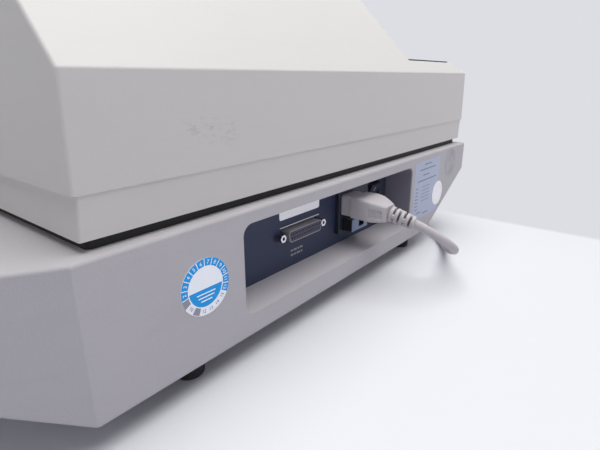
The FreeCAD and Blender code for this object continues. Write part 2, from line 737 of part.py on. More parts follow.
def power_inlet():
    """Moulded module: flange, body, socket well, drawer well, and switch well with its bearings."""
    flange = rounded_block(inlet_left, inlet_right, inlet_low, inlet_high, -inlet_flange, 0, 1.5)
    flange = rounded(flange, 0.8, lambda c: c.z < 0.1 - inlet_flange)
    body = box(inlet_left + 3.2, inlet_right - 1.8, inlet_low + 1.2, inlet_high - 3.2, 0, 28)
    front = -inlet_flange - 1
    wells = [rounded_block(socket_x - 11.4, socket_x + 11.4, socket_z - 8.9, socket_z + 8.9, front, 15, 2.5),
             box(switch_x - 9.4, switch_x + 9.4, switch_z - 10.9, switch_z + 10.9, front, 14),
             box(drawer_x - drawer_length / 2 - 0.3, drawer_x + drawer_length / 2 + 0.3,
                 drawer_z - drawer_height / 2 - 0.3, drawer_z + drawer_height / 2 + 0.3, front, 22),
             trunnions(trunnion_radius + running_gap, 11.2)]
    return standing(flange.fuse(body).cut(wells), panel_face_y)


def trunnions(radius, reach):
    """Round bar along the rocker's axis: its journals, or the bearings that take them."""
    return cylinder(radius, Vec(switch_x - reach, switch_z, switch_pivot_depth),
                    Vec(switch_x + reach, switch_z, switch_pivot_depth))


def blade_boxes(grow, start, end):
    """The three blades of the mains socket, or the slots that take them."""
    return [box(socket_x + x - 1.0 - grow, socket_x + x + 1.0 + grow,
                socket_z + z - 2.0 - grow, socket_z + z + 2.0 + grow, start, end)
            for x, z in ((-7.0, -1.6), (7.0, -1.6), (0.0, 2.4))]


def inlet_blades():
    return standing(Part.makeCompound(blade_boxes(0.0, 2.0, 15.0)), panel_face_y)


def switch_rocker():
    """Rocker with two flats meeting over its pivot, tipped to one side at rest, on two journals."""
    half = 9.4
    points = [Vec(0, -half, 2.5), Vec(0, -half, -5.6), Vec(0, 0, -3.6), Vec(0, half, -5.6),
              Vec(0, half, 2.5), Vec(0, 2.5, 7.5), Vec(0, -2.5, 7.5)]
    body = polygon_face(points).extrude(Vec(14.4, 0, 0))
    body.rotate(Vec(0, 0, switch_pivot_depth), Vec(1, 0, 0), -switch_throw / 2)
    body.translate(Vec(switch_x - 7.2, switch_z, 0))
    return standing(fuse([body, trunnions(trunnion_radius, 10.9)]), panel_face_y)


def fuse_drawer():
    """Drawer whose head stands out of the module, with a finger notch and an open tray."""
    x0, x1 = drawer_x - drawer_length / 2, drawer_x + drawer_length / 2
    z0, z1 = drawer_z - drawer_height / 2, drawer_z + drawer_height / 2
    head = rounded_block(x0, x1, z0, z1, drawer_front, 0, 1.0)
    head = rounded(head, 0.4, lambda c: c.z < drawer_front + 0.1)
    tray = box(x0 + 0.8, x1 - 0.8, z0 + 0.4, z1 - 0.4, 0, 20)
    pocket = box(x0 + 1.8, x1 - 1.8, z0 + 1.4, z1 + 1, 1.5, 18.5)
    notch = box(drawer_x - 6.3, drawer_x + 1.5, z0 + 2.7, z1 + 1, drawer_front - 1, drawer_front + 3)
    return standing(fuse([head, tray]).cut([pocket, notch]), panel_face_y)


def fuses():
    """The working fuse and its spare, lying across the tray: glass between two raised caps."""
    low = drawer_z - drawer_height / 2 + 1.4
    tubes = []
    for depth in (5.5, 13.5):
        start = Vec(drawer_x - fuse_length / 2, low + fuse_radius, depth)
        run = Vec(fuse_length, 0, 0)
        glass = cylinder(fuse_radius - 0.25, start + run * 0.1, start + run * 0.9)
        caps = [cylinder(fuse_radius, start + run * a, start + run * (a + 0.25)) for a in (0.0, 0.75)]
        tubes.append(fuse([glass] + caps))
    return standing(Part.makeCompound(tubes), panel_face_y)


# ---------------------------------------------------------------- mains lead
plug_rear_y = 200.8
relief_pitch, collar_width = 4.1, 2.6
relief_radii = (6.3, 4.9)
cord_route = [Vec(socket_x, plug_rear_y, 62.5), Vec(-62.6, 219.3, 58.4), Vec(-71.6, 234.7, 48.5),
              Vec(-87.0, 242.3, 37.1), Vec(-104.8, 239.9, 26.7), Vec(-132.5, 223.4, 16.0),
              Vec(-168.6, 208.2, 4.2), Vec(-196.1, 189.3, 3.8), Vec(-213.0, 172.0, 3.7),
              Vec(-233.0, 145.0, 3.6), Vec(-241.5, 115.0, 3.6), Vec(-244.6, 86.0, 3.6),
              Vec(coil_x + coil_radius, coil_y, 3.6)]
tail_route = [Vec(coil_x + coil_radius, coil_y, 21.4), Vec(-245.4, 42.0, 20.6), Vec(-247.5, 24.0, 20.3)]


def mains_connector():
    """Moulded connector: nose with blade slots, body drawn in to the rear, grip ribs."""
    front = -inlet_flange - nose_length - 0.9
    nose = rounded_block(socket_x - 11.0, socket_x + 11.0, socket_z - 8.3, socket_z + 8.3,
                         front, nose_depth, 2.2)
    slots = blade_boxes(blade_clearance, 1.5, nose_depth + 1)
    rear = panel_face_y - plug_rear_y
    sections = [(13.2, 8.7, front), (13.4, 8.8, -24.0), (12.8, 8.6, -29.0),
                (11.0, 7.8, -34.5), (8.6, 6.8, -39.0), (7.0, 6.2, rear)]
    outlines = []
    for wide, high, depth in sections:
        sag = -2.0 * max(0.0, (depth + 24.0) / (rear + 24.0))
        outlines.append(rounded_rect(socket_x - wide, socket_x + wide,
                                     socket_z + sag - high, socket_z + sag + high, depth, 3.4))
    body = Part.makeLoft(outlines, True, True)
    grooves = []
    for side in (-1, 1):
        for i in range(5):
            depth = -28.5 - 1.6 * i
            edge = socket_x + side * (12.6 - 0.32 * 1.6 * i)
            grooves.append(box(edge - 0.8, edge + 0.8, socket_z - 7.5, socket_z - 0.5, depth - 0.7, depth))
    return standing(nose.cut(slots).fuse(body).cut(grooves), panel_face_y)


def route_edges(points):
    """Straight runs joined by tangent arcs, each arc as large as its two runs allow."""
    edges = []
    radii = []
    start = points[0]
    for before, corner, after in zip(points, points[1:], points[2:]):
        into, out = corner - before, after - corner
        turn = into.getAngle(out)
        reach = 0.45 * min(into.Length, out.Length)
        radii.append(round(reach / math.tan(turn / 2), 1))
        into.normalize()
        out.normalize()
        first, last = corner - into * reach, corner + out * reach
        inward = (out - into).normalize()
        sagitta = radii[-1] * (1 / math.cos(turn / 2) - 1)
        edges.append(Part.makeLine(start, first))
        edges.append(Part.Arc(first, corner + inward * sagitta, last).toShape())
        start = last
    edges.append(Part.makeLine(start, points[-1]))
    print("cord arc radii", radii)
    return edges


def round_tube(edges):
    """Sweep the cord's round section along its route; prints length and volume ratio."""
    path = Part.Wire(edges)
    start = edges[0].valueAt(edges[0].FirstParameter)
    radius = cord_diameter / 2
    section = Part.Wire(Part.makeCircle(radius, start, edges[0].tangentAt(edges[0].FirstParameter)))
    tube = path.makePipeShell([section], True, False)
    ratio = tube.Volume / (math.pi * radius * radius * path.Length)
    print("cord length", round(path.Length, 1), "volume ratio", round(ratio, 4))
    return tube


def along(edges, distance):
    """Point and direction at a distance along joined edges."""
    for edge in edges:
        if distance <= edge.Length:
            at = edge.getParameterByLength(distance)
            return edge.valueAt(at), edge.tangentAt(at)
        distance -= edge.Length
    return edges[-1].valueAt(edges[-1].LastParameter), edges[-1].tangentAt(edges[-1].LastParameter)


def strain_relief():
    """Sleeve of five spaced collars, smaller towards the cord, on a core along the first bend."""
    edges = route_edges(cord_route)[:2]
    start, way = along(edges, 0.0)
    core = Part.Wire(edges).makePipeShell([Part.Wire(Part.makeCircle(4.1, start, way))], True, False)
    collars = []
    for i in range(5):
        place, way = along(edges, 0.7 + relief_pitch * i)
        radius = relief_radii[0] + (relief_radii[1] - relief_radii[0]) * i / 4
        collars.append(cylinder(radius, place, place + way * collar_width))
    return fuse([core] + collars)


def mains_cord():
    return round_tube(route_edges(cord_route)[2:])


def cord_coil():
    """The outer shape of the wound length: a round-shouldered ring lying on the table."""
    inner = coil_radius - coil_thickness / 2
    ring = Part.makeCylinder(inner + coil_thickness, coil_height, Vec(coil_x, coil_y, 0.1))
    ring = ring.cut(Part.makeCylinder(inner, coil_height + 2, Vec(coil_x, coil_y, -1)))
    return ring.makeFillet(3.0, [e for e in ring.Edges if e.Closed and e.Length > 100])


def cord_tail():
    return round_tube(route_edges(tail_route))


def wall_plug():
    """Round two-pin plug with side earth grooves, lying beside the coil."""
    start = tail_route[-1]
    way = (tail_route[-1] - tail_route[-2]).normalize()
    sleeve = Part.makeCone(5.0, 8.0, 22.0, start, way)
    grip = Part.makeCone(13.0, 18.6, 12.0, start + way * 20, way)
    body = Part.makeCylinder(18.6, 20.0, start + way * 32, way)
    body = body.makeFillet(1.5, [e for e in body.Edges if e.Closed and e.Length > 100][:2])
    across = way.cross(Vec(0, 0, 1)).normalize()
    pins = []
    for side in (-1, 1):
        foot = start + way * 50 + across * (9.5 * side)
        pin = Part.makeCylinder(2.4, 20.5, foot, way)
        pins.append(pin.fuse(Part.makeSphere(2.4, foot + way * 20.5)))
    return fuse([sleeve, grip, body] + pins)


# ---------------------------------------------------------------- the parts
parts = {
    "base_housing": base_housing,
    "base_plate": base_plate,
    "rubber_feet": rubber_feet,
    "foot_screws": foot_screws,
    "neck_ring": neck_ring,
    "lower_band": lower_band,
    "top_cover": top_cover,
    "compartment_liner": compartment_liner,
    "sample_block": sample_block,
    "peltier_modules": peltier_modules,
    "heat_sink": heat_sink,
    "fan_frame": fan_frame,
    "fan_rotor": fan_rotor,
    "chassis": chassis,
    "power_supply": power_supply,
    "control_board": control_board,
    "hinge_bases": hinge_bases,
    "hinge_leaves": hinge_leaves,
    "hinge_pins": hinge_pins,
    "lid_shell": lid_shell,
    "lid_liner": lid_liner,
    "heated_plate": heated_plate,
    "lid_knob": lid_knob,
    "knob_spindle": knob_spindle,
    "control_panel": control_panel,
    "display_window": display_window,
    "display_module": display_module,
    "indicator_lights": indicator_lights,
    "keypad_board": keypad_board,
    "connector_panel": connector_panel,
    "serial_shell": serial_shell,
    "serial_insert": serial_insert,
    "jack_screws": jack_screws,
    "power_inlet": power_inlet,
    "inlet_blades": inlet_blades,
    "switch_rocker": switch_rocker,
    "fuse_drawer": fuse_drawer,
    "fuses": fuses,
    "mains_connector": mains_connector,
    "strain_relief": strain_relief,
    "mains_cord": mains_cord,
    "cord_coil": cord_coil,
    "cord_tail": cord_tail,
    "wall_plug": wall_plug,
}

os.makedirs("parts", exist_ok=True)
for name, make in parts.items():
    write(name, make())
for name, (x, y) in zip(key_names, key_places()):
    write(name, key(x, y))
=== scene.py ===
import bpy
import json
import math
from mathutils import Matrix, Vector


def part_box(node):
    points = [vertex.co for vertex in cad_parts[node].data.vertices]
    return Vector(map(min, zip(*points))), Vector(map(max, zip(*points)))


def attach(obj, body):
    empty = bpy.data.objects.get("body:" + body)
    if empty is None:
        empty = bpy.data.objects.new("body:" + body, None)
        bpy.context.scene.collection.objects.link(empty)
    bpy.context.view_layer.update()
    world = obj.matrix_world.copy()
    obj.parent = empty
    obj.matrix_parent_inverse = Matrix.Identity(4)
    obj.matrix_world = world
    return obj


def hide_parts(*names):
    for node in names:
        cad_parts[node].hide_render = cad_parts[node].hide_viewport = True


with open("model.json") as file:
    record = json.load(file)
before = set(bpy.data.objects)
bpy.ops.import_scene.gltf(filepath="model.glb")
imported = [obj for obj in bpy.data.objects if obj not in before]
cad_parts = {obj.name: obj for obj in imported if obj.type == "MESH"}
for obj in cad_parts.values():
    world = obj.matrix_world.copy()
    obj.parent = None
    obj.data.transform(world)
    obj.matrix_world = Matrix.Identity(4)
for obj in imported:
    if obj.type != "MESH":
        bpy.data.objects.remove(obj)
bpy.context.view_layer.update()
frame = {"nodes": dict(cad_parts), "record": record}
nodes = frame["nodes"]

# ---------------------------------------------------------------- the table and the light
# A pale table top that fades into a plain cool backdrop, a broad soft light overhead, and a
# weaker one behind the viewer.  The viewer stands close, behind and to the left of the instrument.

def srgb(red, green, blue):
    """A colour given as 0-255 screen values, in the linear values that the shaders use."""
    parts = [c / 255 for c in (red, green, blue)]
    linear = [c / 12.92 if c < 0.04045 else ((c + 0.055) / 1.055) ** 2.4 for c in parts]
    return (*linear, 1.0)


def add_node(tree, kind, **settings):
    """A new shader node of that kind with its settings."""
    node = tree.nodes.new("ShaderNode" + kind)
    for setting, value in settings.items():
        setattr(node, setting, value)
    return node


def feed(tree, values):
    """Give node inputs their values, each a socket to link or a plain value."""
    for socket, value in values:
        if isinstance(value, bpy.types.NodeSocket):
            tree.links.new(value, socket)
        elif value is not None:
            socket.default_value = value


def math_node(tree, operation, first, second=None):
    """A math node whose operands are sockets or plain numbers; gives its output socket."""
    node = add_node(tree, "Math", operation=operation)
    feed(tree, zip(node.inputs, (first, second)))
    return node.outputs[0]


def times(tree, first, second):
    return math_node(tree, "MULTIPLY", first, second)


def span_node(tree, value, low, high, low_out=0.0, high_out=1.0, interpolation="LINEAR"):
    """Values from low to high spread over low_out to high_out, held outside; gives its socket."""
    span = add_node(tree, "MapRange", interpolation_type=interpolation)
    feed(tree, ((span.inputs["Value"], value), (span.inputs["From Min"], low), (span.inputs["From Max"], high),
                (span.inputs["To Min"], low_out), (span.inputs["To Max"], high_out)))
    return span.outputs["Result"]


def mix_colour(tree, mask, first, second):
    """Two colours, sockets or plain values, mixed by a mask; gives the colour socket."""
    mix = add_node(tree, "Mix", data_type="RGBA")
    feed(tree, ((mix.inputs[0], mask), (mix.inputs[6], first), (mix.inputs[7], second)))
    return mix.outputs[2]


def object_place(tree):
    return add_node(tree, "TexCoord").outputs["Object"]


def along(tree, axis):
    """How far along one axis the shaded spot lies, as a socket."""
    split = add_node(tree, "SeparateXYZ")
    tree.links.new(object_place(tree), split.inputs["Vector"])
    return split.outputs[axis]


backdrop_colour = srgb(221, 222, 228)
table_colour = srgb(247, 247, 250)
bounced_colour = srgb(202, 201, 210)

bpy.ops.object.select_all(action="DESELECT")
bpy.ops.mesh.primitive_circle_add(vertices=96, radius=4.0, fill_type="NGON", location=(0, 0, 0))
table_top = bpy.context.object
table_top.name = "table_top"

table_paint = bpy.data.materials.new("table_laminate")
table_paint.use_nodes = True
table_tree = table_paint.node_tree
table_shader = table_tree.nodes["Principled BSDF"]
table_ray = add_node(table_tree, "LightPath").outputs["Is Camera Ray"]
far_glow = add_node(table_tree, "Emission")
distance = add_node(table_tree, "VectorMath", operation="LENGTH")
table_mix = add_node(table_tree, "MixShader")
table_tone = mix_colour(table_tree, table_ray, bounced_colour, table_colour)
feed(table_tree, ((table_shader.inputs["Base Color"], table_tone),
                  (table_shader.inputs["Roughness"], 0.55),
                  (far_glow.inputs["Color"], backdrop_colour),
                  (distance.inputs[0], object_place(table_tree))))
far_fade = span_node(table_tree, distance.outputs["Value"], 0.7, 1.5, interpolation="SMOOTHSTEP")
side_fade = span_node(table_tree, along(table_tree, "X"), -0.292, -0.306, interpolation="SMOOTHSTEP")
feed(table_tree, ((table_mix.inputs[0], math_node(table_tree, "MAXIMUM", far_fade, side_fade)),
                  (table_mix.inputs[1], table_shader.outputs["BSDF"]),
                  (table_mix.inputs[2], far_glow.outputs["Emission"]),
                  (table_tree.nodes["Material Output"].inputs["Surface"], table_mix.outputs["Shader"])))
table_top.data.materials.append(table_paint)

world = bpy.data.worlds.new("room")
bpy.context.scene.world = world
world.use_nodes = True
room = world.node_tree
room_light = room.nodes["Background"]
seen_room = add_node(room, "Background")
ray = add_node(room, "LightPath").outputs
room_mix = add_node(room, "MixShader")
seen = math_node(room, "MAXIMUM", ray["Is Camera Ray"], ray["Is Glossy Ray"])
feed(room, ((room_light.inputs["Color"], (0.85, 0.91, 1.0, 1.0)),
            (room_light.inputs["Strength"], 0.235),
            (seen_room.inputs["Color"], backdrop_colour),
            (seen_room.inputs["Strength"], 1.0),
            (room_mix.inputs[0], math_node(room, "MAXIMUM", seen, ray["Is Transmission Ray"])),
            (room_mix.inputs[1], room_light.outputs["Background"]),
            (room_mix.inputs[2], seen_room.outputs["Background"]),
            (room.nodes["World Output"].inputs["Surface"], room_mix.outputs["Shader"])))

def stand(name, data, at, way):
    """A lamp or camera in the scene, at a place and looking along a direction."""
    stood = bpy.data.objects.new(name, data)
    bpy.context.scene.collection.objects.link(stood)
    stood.location = at
    stood.rotation_mode = "QUATERNION"
    stood.rotation_quaternion = Vector(way).to_track_quat("-Z", "Y")
    return stood


for lamp_name, size, power, tint, lamp_at, aim in (
    ("ceiling_light", 2.0, 29.5, (1.0, 1.0, 1.0), (-0.1, 0.3, 1.75), (0, 0, 0.1)),
    ("window_light", 1.2, 0.8, (1.0, 0.86, 0.93), (-0.3, 1.7, 0.6), (0, 0.1, 0.1)),
):
    lamp_data = bpy.data.lights.new(lamp_name, "AREA")
    lamp_data.shape = "DISK"
    lamp_data.size = size
    lamp_data.energy = power
    lamp_data.color = tint
    stand(lamp_name, lamp_data, lamp_at, Vector(aim) - Vector(lamp_at))

eye = (0.2425, 0.35255, 0.163)
gaze = (-0.7425, -0.5910, -0.3153)
camera_data = bpy.data.cameras.new("viewer")
camera_data.lens = 26.8
camera_data.sensor_width = 36.0
camera_data.clip_start = 0.01
bpy.context.scene.camera = stand("viewer", camera_data, eye, gaze)
bpy.context.scene.view_settings.view_transform = "Standard"

# ---------------------------------------------------------------- base housing
# The lower half of the instrument: one thick-walled moulding in structural foam, sprayed in a
# matt putty grey.  The spray leaves a fine pebble, and hands and benches leave faint grey rubs.

def effect_group(name, inputs, outputs):
    """An empty shader node group with named number inputs and named outputs."""
    group = bpy.data.node_groups.new(name, "ShaderNodeTree")
    for socket, value in inputs.items():
        made = group.interface.new_socket(socket, in_out="INPUT", socket_type="NodeSocketFloat")
        made.default_value = value
    for socket in outputs:
        group.interface.new_socket(socket, in_out="OUTPUT", socket_type="NodeSocketFloat")
    return group, group.nodes.new("NodeGroupInput"), group.nodes.new("NodeGroupOutput")


def noise_node(tree, scale, detail=3.0, stretch=(1, 1, 1), roughness=0.55):
    """Noise on object coordinates, stretched by a Mapping node; gives its value socket."""
    mapping = add_node(tree, "Mapping")
    noise = add_node(tree, "TexNoise")
    feed(tree, ((mapping.inputs["Scale"], stretch), (mapping.inputs["Vector"], object_place(tree)),
                (noise.inputs["Vector"], mapping.outputs["Vector"]), (noise.inputs["Scale"], scale),
                (noise.inputs["Detail"], detail), (noise.inputs["Roughness"], roughness)))
    return noise.outputs["Fac"]


def facing_along(tree, axis):
    """How much the surface faces along one axis, as a socket."""
    split = add_node(tree, "SeparateXYZ")
    tree.links.new(add_node(tree, "NewGeometry").outputs["Normal"], split.inputs["Vector"])
    return split.outputs[axis]


pebble_group, group_in, group_out = effect_group("pebble_grain", {"Scale": 900.0}, ("Height", "Tone"))
cells = add_node(pebble_group, "TexVoronoi", feature="SMOOTH_F1")
feed(pebble_group, ((cells.inputs["Vector"], object_place(pebble_group)),
                    (cells.inputs["Scale"], group_in.outputs["Scale"])))
fine = noise_node(pebble_group, group_in.outputs["Scale"], 2.0)
height = math_node(pebble_group, "ADD", times(pebble_group, fine, 0.6), cells.outputs["Distance"])
pebble_group.links.new(height, group_out.inputs["Height"])
tone = math_node(pebble_group, "ADD", times(pebble_group, fine, 0.7),
                 times(pebble_group, noise_node(pebble_group, 45.0, 4.0), 0.3))
pebble_group.links.new(span_node(pebble_group, tone, 0.3, 0.7), group_out.inputs["Tone"])

wear_group, group_in, group_out = effect_group("edge_wear", {"Reach": 0.002, "Patchiness": 60.0}, ("Mask",))
rounded_normal = add_node(wear_group, "Bevel", samples=4)
facing = add_node(wear_group, "VectorMath", operation="DOT_PRODUCT")
feed(wear_group, ((rounded_normal.inputs["Radius"], group_in.outputs["Reach"]),
                  (facing.inputs[0], rounded_normal.outputs["Normal"]),
                  (facing.inputs[1], add_node(wear_group, "NewGeometry").outputs["Normal"])))
edge = span_node(wear_group, facing.outputs["Value"], 0.99, 0.9)
patches = span_node(wear_group, noise_node(wear_group, group_in.outputs["Patchiness"], 5.0), 0.42, 0.62)
wear_group.links.new(times(wear_group, edge, patches), group_out.inputs["Mask"])

rub_group, group_in, group_out = effect_group("rub_marks", {"Scale": 14.0, "Amount": 0.5}, ("Mask",))
broad = noise_node(rub_group, group_in.outputs["Scale"], 6.0, (1, 1, 2.2), 0.7)
broad = span_node(rub_group, broad, 0.52, 0.78)
streaks = span_node(rub_group, noise_node(rub_group, 60.0, 4.0, (0.35, 0.35, 3.0), 0.6), 0.55, 0.8)
both = math_node(rub_group, "MAXIMUM", broad, times(rub_group, streaks, 0.6))
rub_group.links.new(times(rub_group, both, group_in.outputs["Amount"]), group_out.inputs["Mask"])

dust_group, group_in, group_out = effect_group("settled_dust", {"Amount": 0.4}, ("Mask",))
level = span_node(dust_group, facing_along(dust_group, "Z"), 0.55, 0.98)
film = span_node(dust_group, noise_node(dust_group, 11.0, 6.0), 0.35, 0.7)
specks = span_node(dust_group, noise_node(dust_group, 700.0, 1.0), 0.66, 0.72)
dust = math_node(dust_group, "ADD", times(dust_group, film, 0.7),
                 times(dust_group, specks, 0.5))
dust = times(dust_group, times(dust_group, dust, level), group_in.outputs["Amount"])
dust_group.links.new(dust, group_out.inputs["Mask"])


def place_group(tree, group, **values):
    """A shared effect put in a material with its own values; gives its output sockets."""
    node = add_node(tree, "Group", node_tree=group)
    for socket, value in values.items():
        node.inputs[socket].default_value = value
    return node.outputs


def darker(colour, share):
    return (colour[0] * share, colour[1] * share, colour[2] * share, 1.0)


def finish(name, colour, roughness, grain=(900.0, 0.00003), metallic=0.0, shading=0.93,
           wear=None, rub=None, dust=None, specular=0.5, painted_glow=0.0):
    """A material: tone and pebble of the surface, then rubs, dust and worn edges laid over it; a glow above
    nought makes it glow as painted light.
    """
    material = bpy.data.materials.new(name)
    material.use_nodes = True
    tree = material.node_tree
    shader = tree.nodes["Principled BSDF"]
    feed(tree, ((shader.inputs["Metallic"], metallic), (shader.inputs["Specular IOR Level"], specular),
                (shader.inputs["Emission Color"], colour), (shader.inputs["Emission Strength"], painted_glow)))
    pebble = place_group(tree, pebble_group, Scale=grain[0])
    surface = mix_colour(tree, pebble["Tone"], darker(colour, shading), colour)
    gloss = math_node(tree, "ADD", times(tree, pebble["Tone"], 0.12), roughness - 0.06)
    if rub:
        amount, rub_colour = rub
        mask = place_group(tree, rub_group, Amount=amount)["Mask"]
        surface = mix_colour(tree, mask, surface, rub_colour)
        gloss = math_node(tree, "ADD", gloss, times(tree, mask, 0.25))
    if dust:
        mask = place_group(tree, dust_group, Amount=dust)["Mask"]
        surface = mix_colour(tree, mask, surface, srgb(205, 201, 194))
        gloss = math_node(tree, "ADD", gloss, times(tree, mask, 0.3))
    if wear:
        edge_reach, worn_colour, share = wear
        mask = place_group(tree, wear_group, Reach=edge_reach)["Mask"]
        surface = mix_colour(tree, times(tree, mask, share), surface, worn_colour)
    bump = add_node(tree, "Bump")
    feed(tree, ((bump.inputs["Distance"], grain[1]), (bump.inputs["Strength"], 1.0),
                (bump.inputs["Height"], pebble["Height"]), (shader.inputs["Base Color"], surface),
                (shader.inputs["Roughness"], gloss), (shader.inputs["Normal"], bump.outputs["Normal"])))
    return material


def tinted(material, mask, colour):
    """Lay a colour over a finished material where the mask says."""
    tree = material.node_tree
    base_input = tree.nodes["Principled BSDF"].inputs["Base Color"]
    tree.links.new(mix_colour(tree, mask, base_input.links[0].from_socket, colour), base_input)


def distance_from(tree, spot):
    """How far the shaded spot lies from a point, as a socket."""
    apart = add_node(tree, "VectorMath", operation="DISTANCE")
    feed(tree, ((apart.inputs[0], object_place(tree)), (apart.inputs[1], spot)))
    return apart.outputs["Value"]


def dress(material, *names):
    """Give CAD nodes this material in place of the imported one."""
    for name in names:
        nodes[name].data.materials.clear()
        nodes[name].data.materials.append(material)


base_paint = finish("putty_spray_paint", srgb(211, 207, 210), 0.7, grain=(1100.0, 0.00006), shading=0.965,
                    wear=(0.0012, srgb(224, 220, 214), 0.4), rub=(0.12, srgb(168, 164, 161)), dust=0.15,
                    specular=0.25)
# the bay's far end wall stands in the shade, painted into its colour as a darker tint, and an old label left a
# ring of residue by the rim
base_tree = base_paint.node_tree
end_wall_painted_shade = times(base_tree, span_node(base_tree, facing_along(base_tree, "X"), 0.25, 0.8),
                     span_node(base_tree, along(base_tree, "X"), -0.120, -0.124))
end_wall_painted_shade = times(base_tree, end_wall_painted_shade, span_node(base_tree, along(base_tree, "Y"), 0.1846, 0.1835))
# painted shade: the far end wall's colour is darkened where the bay shades it
tinted(base_paint, end_wall_painted_shade, srgb(138, 134, 146))
residue = span_node(base_tree, distance_from(base_tree, (-0.222, 0.185, 0.0776)), 0.0165, 0.0125, 0.0, 0.4)
residue = times(base_tree, residue,
                    span_node(base_tree, noise_node(base_tree, 160.0, 4.0), 0.30, 0.62))
tinted(base_paint, residue, srgb(150, 144, 150))
dress(base_paint, "base_housing", "base_plate")

# ---------------------------------------------------------------- feet, screws and neck
# Four moulded rubber feet stand under the base, each held by a zinc-plated pan-head screw set in
# its socket.  The neck that carries the case over the base is a dark ring in its shadow, coloured near-black
# as painted shade of the gap.
rubber = finish("foot_rubber", srgb(38, 38, 40), 0.78, grain=(700.0, 0.00008), shading=0.8,
                dust=0.5, rub=(0.4, srgb(86, 84, 82)))
dress(rubber, "rubber_feet")
zinc = finish("zinc_plate", srgb(196, 198, 200), 0.32, metallic=1.0, grain=(300.0, 0.00001),
              shading=0.82, rub=(0.35, srgb(140, 138, 132)))
dress(zinc, "foot_screws")
dark_plastic = finish("black_moulding", srgb(34, 35, 38), 0.42, grain=(1300.0, 0.00003), shading=0.82,
                      wear=(0.0008, srgb(92, 92, 96), 0.5), dust=0.35)
# near-black: the dark plastic's own colour with painted shade of the narrow gap laid into it
neck_plastic_painted_shade = finish("neck_moulding_painted_shade", srgb(12, 13, 20), 0.6, grain=(1300.0, 0.00003), shading=0.85)
dress(neck_plastic_painted_shade, "neck_ring")

# ---------------------------------------------------------------- power and cooling under the block
# A folded steel cradle carries an extruded fin block with an axial fan under it.  The power
# supply sits in its own perforated can, and one green fibreglass board runs the instrument.
sheet_steel = finish("galvanised_sheet", srgb(172, 175, 178), 0.38, metallic=1.0, grain=(90.0, 0.00002),
                     shading=0.72)
dress(sheet_steel, "chassis", "power_supply")
fin_metal = finish("bare_extrusion", srgb(205, 207, 210), 0.36, metallic=1.0, grain=(1500.0, 0.00001),
                   shading=0.88)
dress(fin_metal, "heat_sink")
dress(dark_plastic, "fan_frame", "fan_rotor")
board_green = finish("solder_mask", srgb(38, 92, 62), 0.35, grain=(500.0, 0.00002), shading=0.7)
dress(board_green, "control_board", "keypad_board")

# ---------------------------------------------------------------- case: lower band and top cover
# The case is two mouldings in cream-white plastic.  The band below tapers in and sits a
# little behind the cover above, so that a fine shadow line runs round the whole case.
case_plastic = finish("cream_moulding", srgb(232, 228, 224), 0.5, grain=(1500.0, 0.00004), shading=0.975,
                      wear=(0.001, srgb(240, 237, 231), 0.3), rub=(0.1, srgb(202, 196, 190)), dust=0.1)
# a few faint scuffs on its rear wall
case_tree = case_plastic.node_tree
scraped = 0.0
for spot, spread, share in (((0.1055, 0.18, 0.1386), 0.010, 0.22), ((0.0945, 0.18, 0.1376), 0.009, 0.26),
                            ((0.0825, 0.18, 0.1370), 0.009, 0.20), ((-0.0865, 0.18, 0.1103), 0.0035, 0.22)):
    zone = span_node(case_tree, distance_from(case_tree, spot), spread, spread * 0.3, 0.0, share)
    scraped = math_node(case_tree, "MAXIMUM", scraped, zone)
scrapes = span_node(case_tree, noise_node(case_tree, 320.0, 5.0, (0.6, 1.0, 1.8), 0.65), 0.50, 0.64)
tinted(case_plastic, times(case_tree, scrapes, scraped), srgb(158, 150, 154))
dress(case_plastic, "lower_band", "top_cover")

# ---------------------------------------------------------------- sample side
# The tube block is milled from one piece of aluminium, then bead-blasted, and the funnel round
# it is grey moulding.  Ceramic heat pumps are clamped between the block and the fins.
blasted = finish("bead_blasted_aluminium", srgb(198, 200, 203), 0.42, metallic=1.0, grain=(1800.0, 0.00004),
                 shading=0.85, wear=(0.0008, srgb(236, 236, 238), 0.7))
dress(blasted, "sample_block")
grey_plastic = finish("grey_moulding", srgb(120, 122, 127), 0.5, grain=(1300.0, 0.00004), shading=0.9,
                      rub=(0.25, srgb(88, 88, 92)), dust=0.2)
dress(grey_plastic, "compartment_liner")
ceramic = finish("heat_pump_ceramic", srgb(232, 231, 226), 0.6, shading=0.93)
dress(ceramic, "peltier_modules")

# ---------------------------------------------------------------- lid
# A double-walled cream lid turns on two steel pins at the rear.  Its ribbed knob drives a
# threaded spindle, which presses the heated plate down on the tubes.
dress(case_plastic, "lid_shell")
dress(grey_plastic, "lid_liner", "hinge_bases", "hinge_leaves")
polished = finish("ground_steel", srgb(204, 206, 208), 0.22, metallic=1.0, grain=(1200.0, 0.000008),
                  shading=0.9)
dress(polished, "hinge_pins", "knob_spindle")
plate_metal = finish("anodised_plate", srgb(128, 132, 138), 0.38, metallic=1.0, grain=(900.0, 0.00001),
                     shading=0.86, rub=(0.4, srgb(92, 90, 88)))
dress(plate_metal, "heated_plate")
knob_plastic = finish("knob_moulding", srgb(64, 72, 92), 0.4, grain=(1400.0, 0.00003), shading=0.88,
                      wear=(0.001, srgb(120, 126, 142), 0.6), dust=0.3)
dress(knob_plastic, "lid_knob")


def block(low, high):
    """A cube stretched between two corners, as the start of a piece."""
    bpy.ops.object.select_all(action="DESELECT")
    bpy.ops.mesh.primitive_cube_add(size=1, location=(Vector(low) + Vector(high)) / 2)
    piece = bpy.context.object
    piece.scale = Vector(high) - Vector(low)
    bpy.ops.object.transform_apply(location=True, rotation=True, scale=True)
    return piece


